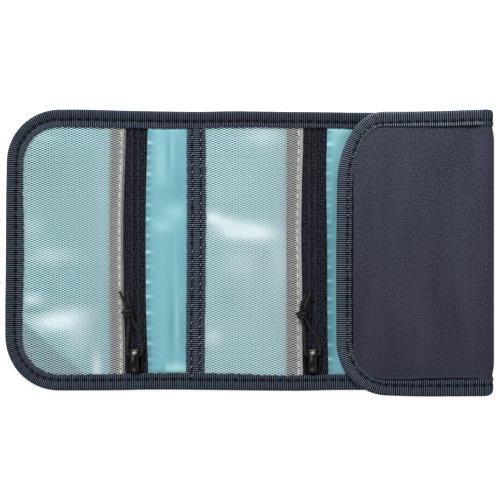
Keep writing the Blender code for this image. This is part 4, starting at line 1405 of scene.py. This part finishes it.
def divider_grid():
    """The ribbon itself, with its ribs, furrows and uneven sides."""
    half = (divider_high.x - divider_low.x) / 2
    y_places = spread(bottom + cloth_inset + 0.0003, top - cloth_inset - 0.0003, divider_rib / 5)
    u, y = np.meshgrid(np.linspace(-half, half, 33), y_places, indexing="ij")
    z = divider_high.z - 0.00012 + 0.00008 * np.abs(np.sin(math.pi * y / divider_rib)) ** 0.8
    for row, shift in divider_rows:
        z = z - (0.00014 + 0.00016 * near_needle(y, shift)) * np.exp(-((u - row) / 0.00055) ** 2)
    edge = smoothstep(half - 0.00035, half, np.abs(u))
    ends = np.minimum(y - y_places[0], y_places[-1] - y)
    z = z - 0.00034 * edge - 0.00045 * (1 - smoothstep(0.0006, 0.0030, ends))
    jag = np.random.default_rng(8).uniform(-rib_jag, rib_jag, int((top - bottom) / divider_rib) + 2)
    own_jag = jag[((y - bottom) / divider_rib).astype(int)]
    x = fold_x + u + drifted(divider_drift, y) + edge * np.sign(u) * own_jag
    return grid_part(x, y, z, flat=(y, u)), y_places[0], y_places[-1]


def make_divider():
    ribbon, start_y, end_y = divider_grid()
    parts = [ribbon]
    chance = np.random.default_rng(9)
    even = np.linspace(-1, 1, 7)
    for row, shift in divider_rows:
        first = (math.ceil(start_y / stitch_pitch + shift) - shift) * stitch_pitch
        for start in np.arange(first, end_y - stitch_pitch, stitch_pitch):
            for number, begin, end, lean in ((1, 0.12, 0.88, 0.00022), (2, -0.13, 0.13, 0.00040)):
                # The second kind is a short pale speck of thread at a needle hole.
                specked = number == 2
                if specked and chance.random() < 0.25:
                    continue
                places = np.linspace(start + begin * stitch_pitch, start + end * stitch_pitch, 7)
                places = places + (chance.uniform(-0.0005, 0.0005) if specked else 0)
                slant = lean * even * chance.uniform(0.2, 1.3) + drifted(divider_drift, places)
                lift = divider_high.z - 0.00004 - 0.00022 * even ** 4
                line = stacked(fold_x + row + slant, places, lift)
                parts.append(stitch(line, number, stitch_thread * (0.8 if specked else 1)))
    bind("divider_ribbon", parts, [divider_ribbon, navy_thread, pale_speck_thread], "left fold", "divider_tape")


make_divider()

# %% [markdown]
# ## Sliders
# Each slider is a cast body with a glossy dark coat. Its plate lies on the tape, and an arched crown stands
# on it, so that the cord can pass under. The crown is a strap that narrows at its waist and has a round back.
# The coat gets painted highlights where the photograph shows them.

# %% Mix the slider's coat
slider_metal, tree, shader = new_finish("slider_metal")
where = place(tree, "ShaderNodeTexCoord", {}, "Object")
fine = {
    label: effect(tree, fibre_group, where, label, Scale=1400.0, Detail=4.0)
    for label in ("Tone", "Height")
}
wide_tone = effect(tree, fibre_group, where, "Tone", Scale=260.0)
wear = effect(tree, lint_group, where, "Mask", Scale=2400.0)
# The slider's map paints highlights in a pale warm colour; the lint mask above is real wear.
painted_highlight_map = place(tree, "ShaderNodeAttribute", {}, "Fac", attribute_name="glare")
coat = blend_colours(tree, wide_tone, (0.002, 0.002, 0.002), (0.007, 0.006, 0.005))
coat = blend_colours(tree, wear, coat, (0.05, 0.045, 0.04))
feed(tree, shader, {
    "Base Color": blend_colours(tree, painted_highlight_map, coat, (0.62, 0.57, 0.51)),
    "Roughness": fine["Tone"] * 0.12 + 0.16,
    "Normal": place(tree, "ShaderNodeBump", {"Distance": 0.00001, "Height": fine["Height"]}),
    "Specular IOR Level": 0.09,
})

# %% Shape the slider
crown_long = 0.0104
crown_wide = 0.0046
crown_high = 0.0031
crown_thick = 0.0014
plate_low = 0.0047
plate_top = 0.0056
guide_top = 0.0049
# Spots of painted highlight on the crown, each with a place, width, height and strength.
highlight_spots = [(0.0001, 0.0037, 0.00058, 0.00050, 1.00), (-0.0005, 0.0017, 0.00028, 0.0015, 0.22),
              (0.0002, 0.0048, 0.0016, 0.0002, 0.30), (-0.0002, -0.0036, 0.0006, 0.0008, 0.16)]


def crown_part(x0, y0):
    """The arched strap, carried along its arch with a rounded section."""
    turn = np.linspace(0, math.pi, 33)
    share = (np.abs(np.cos(turn)) ** 3 + np.sin(turn) ** 3) ** (-1 / 3)
    y = y0 + (crown_long / 2 - crown_thick / 2) * np.cos(turn) * share
    z = plate_top + (crown_high - crown_thick / 2) * np.sin(turn) * share
    slope = directions(np.stack([y, z], axis=1))
    around = np.linspace(0, 2 * math.pi, 20, endpoint=False)
    side = squared(np.cos(around), 0.9)
    x = x0 + crown_wide / 2 * (1 - 0.18 * np.sin(turn) ** 3)[:, None] * side
    push = crown_thick / 2 * np.sin(around) * (1 - 0.25 * side ** 2)
    points = stacked(x, y[:, None] + slope[:, 1:] * push, z[:, None] - slope[:, :1] * push)
    return points, grid_faces(len(turn), 20, round_it=True), points[:, :2], 0


def stack_part(x0, y0, across, along, levels):
    """A closed stack of one outline, with a share of its size and a height for each level."""
    points = np.vstack([stacked(x0 + across * size, y0 + along * size, z) for size, z in levels])
    return points, grid_faces(len(levels), len(across), round_it=True), points[:, :2], 0


def plate_part(x0, y0, low, high):
    """The plate, with a rounded rim."""
    turn = np.linspace(0, 2 * math.pi, 48, endpoint=False)
    across = (high.x - low.x) / 2 * squared(np.cos(turn), 0.62)
    along = (high.y - low.y) / 2 * squared(np.sin(turn), 0.62)
    levels = [(0.0, plate_low), (0.80, plate_low), (0.96, 0.0048), (1.0, 0.0051), (0.97, 0.0054),
              (0.86, plate_top), (0.80, plate_top - 0.00012), (0.0, plate_top - 0.00012)]
    return stack_part(x0, y0, across, along, levels)


def guide_part(x0, y0, low):
    """The post that divides the two coils, down through the slit."""
    turn = np.linspace(0, 2 * math.pi, 12, endpoint=False)
    levels = [(0.0, low.z), (0.9, low.z), (1.0, low.z + 0.0002), (1.0, guide_top), (0.0, guide_top)]
    return stack_part(x0, y0 - 0.0022, 0.00034 * np.cos(turn), 0.0014 * np.sin(turn), levels)


def make_slider(side):
    low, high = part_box("slider_" + side)
    x0, y0 = zips[side], (low.y + high.y) / 2
    parts = [crown_part(x0, y0), plate_part(x0, y0, low, high), guide_part(x0, y0, low)]
    piece = new_piece("zip_slider_" + side, parts, [slider_metal])
    x, y, z = places_of(piece).T
    # Paint the highlights onto the crown.
    shade_points(piece, np.clip(spots(highlight_spots, x - x0, y - y0), 0, 1) * (z > plate_top + 0.0006))
    settle(piece, side + "_slider", "slider_metal", "slider_" + side)
    print("slider", side, "top", round(high.z, 5))


for side in zips:
    make_slider(side)

# %% [markdown]
# ## Hook and loop closure
# A hook patch under the flap's free edge meets a loop patch on the left panel's back. Both are out of
# sight in the photograph. The hooks are small bent posts in rows, and the loops are a soft pile.

# %% Make the two patches
patch_corner = 0.003
hook_pitch = 0.00125


def patch_base(low, high, z, rise, seed, step):
    """A patch with rounded corners and a slightly uneven face, seen from below."""
    x_places = spread(low.x, high.x, step)
    past = np.maximum(low.x + patch_corner - x_places, x_places - high.x + patch_corner)
    cut = patch_corner - np.sqrt(patch_corner ** 2 - np.clip(past, 0, patch_corner) ** 2)
    x, y = column_grid(x_places, low.y + cut, high.y - cut, step)
    return grid_part(x, y, z + rise * ripples(x * 9, y * 9, seed, 14, 0.020, 0.006), flip=True)


def make_hook_patch():
    low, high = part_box("hook_patch")
    parts = [patch_base(low, high, high.z - 0.00012, 0.0, 71, 0.0012)]
    for x in np.arange(low.x + 0.0012, high.x - 0.0008, hook_pitch):
        for y in np.arange(low.y + 0.0012, high.y - 0.0008, hook_pitch):
            line = np.array([(x, y, high.z), (x, y, low.z + 0.00012), (x + 0.0002, y, low.z),
                             (x + 0.0004, y, low.z + 0.0001)])
            parts.append(stitch(line, 1, 0.00022))
    piece = new_piece("hook_patch_under_flap", parts, [hook_tape, navy_thread])
    settle(piece, "flap", "hook_tape", "hook_patch")


def make_loop_patch():
    part = patch_base(*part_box("loop_patch"), 0.00016, 0.00009, 72, 0.0004)
    piece = new_piece("loop_patch_on_back", [part], [hook_tape])
    settle(piece, "left_panel", "hook_tape", "loop_patch")


make_hook_patch()
make_loop_patch()
print("patches made")

# %% [markdown]
# ## Stiffener boards
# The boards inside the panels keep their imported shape, because they are plain sheets of fibre board. They
# only get a surface: a grey pressed pulp with darker flecks.

# %% Finish the boards
board_finish, tree, shader = new_finish("board")
where = place(tree, "ShaderNodeTexCoord", {}, "Object")
pulp = effect(tree, fibre_group, where, "Tone", Scale=900.0, Detail=5.0)
flecks = effect(tree, lint_group, where, "Mask", Scale=700.0, Amount=0.14)
board_colour = blend_colours(tree, pulp, (0.20, 0.20, 0.20), (0.34, 0.33, 0.31))
board_colour = blend_colours(tree, flecks, board_colour, (0.08, 0.08, 0.08))
feed(tree, shader, {"Base Color": board_colour, "Roughness": 0.8})
for name in ("board_left", "board_centre", "board_flap"):
    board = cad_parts[name]
    board.data.materials.clear()
    board.data.materials.append(board_finish)
print("boards finished")

# %% [markdown]
# ## Studio
# The wallet lies on a white sweep. A soft lamp from behind and to the left gives the direction of the
# light in the photograph, and the even white surroundings fill the rest. What the camera sees of the
# surroundings is plain white, and so is what shiny parts mirror.

# %% Lay the floor
floor_data = bpy.data.meshes.new("floor")
floor_data.from_pydata([(-2, -2, 0), (2, -2, 0), (2, 2, 0), (-2, 2, 0)], [], [(0, 1, 2, 3)])
floor = add_object("floor", floor_data)
floor.location.z = -0.0001
floor_finish, tree, shader = new_finish("floor")
feed(tree, shader, {"Base Color": (0.86, 0.86, 0.86), "Roughness": 0.9})
plain = Value(tree, shader.outputs[0])
glow = place(tree, "ShaderNodeEmission", {"Strength": 0.64})
lit = place(tree, "ShaderNodeAddShader", {0: plain, 1: glow})
to_camera = place(tree, "ShaderNodeLightPath", {}, "Is Camera Ray")
mixed = place(tree, "ShaderNodeMixShader", {0: to_camera, 1: plain, 2: lit})
feed(tree, tree.nodes["Material Output"], {0: mixed})
floor_data.materials.append(floor_finish)

# %% Light it
world = bpy.data.worlds.new("studio")
bpy.context.scene.world = world
world.use_nodes = True
tree = world.node_tree
feed(tree, tree.nodes["Background"], {"Color": (1, 1, 1), "Strength": 0.42})
white = place(tree, "ShaderNodeBackground", {"Color": (1, 1, 1), "Strength": 1.0})
rays = [
    place(tree, "ShaderNodeLightPath", {}, f"Is {kind} Ray") for kind in ("Camera", "Glossy", "Transmission")]
seen = (rays[0] + rays[1] + rays[2]).do("MINIMUM", 1.0)
dim = Value(tree, tree.nodes["Background"].outputs[0])
mixed = place(tree, "ShaderNodeMixShader", {0: seen, 1: dim, 2: white})
feed(tree, tree.nodes["World Output"], {0: mixed})


def add_lamp(name, middle, size, power):
    """A square lamp that faces the wallet."""
    data = bpy.data.lights.new(name, "AREA")
    data.size = size
    data.energy = power
    lamp = add_object(name, data)
    lamp.location = middle
    lamp.rotation_euler = (-Vector(middle)).to_track_quat("-Z", "Y").to_euler()


add_lamp("key_lamp", (-0.28, 0.62, 0.60), 0.15, 7.8)
add_lamp("fill_lamp", (0.60, -0.35, 0.60), 0.60, 1.5)
bpy.context.scene.view_settings.view_transform = "Standard"
print("lamps", [lamp.name for lamp in bpy.data.lights])
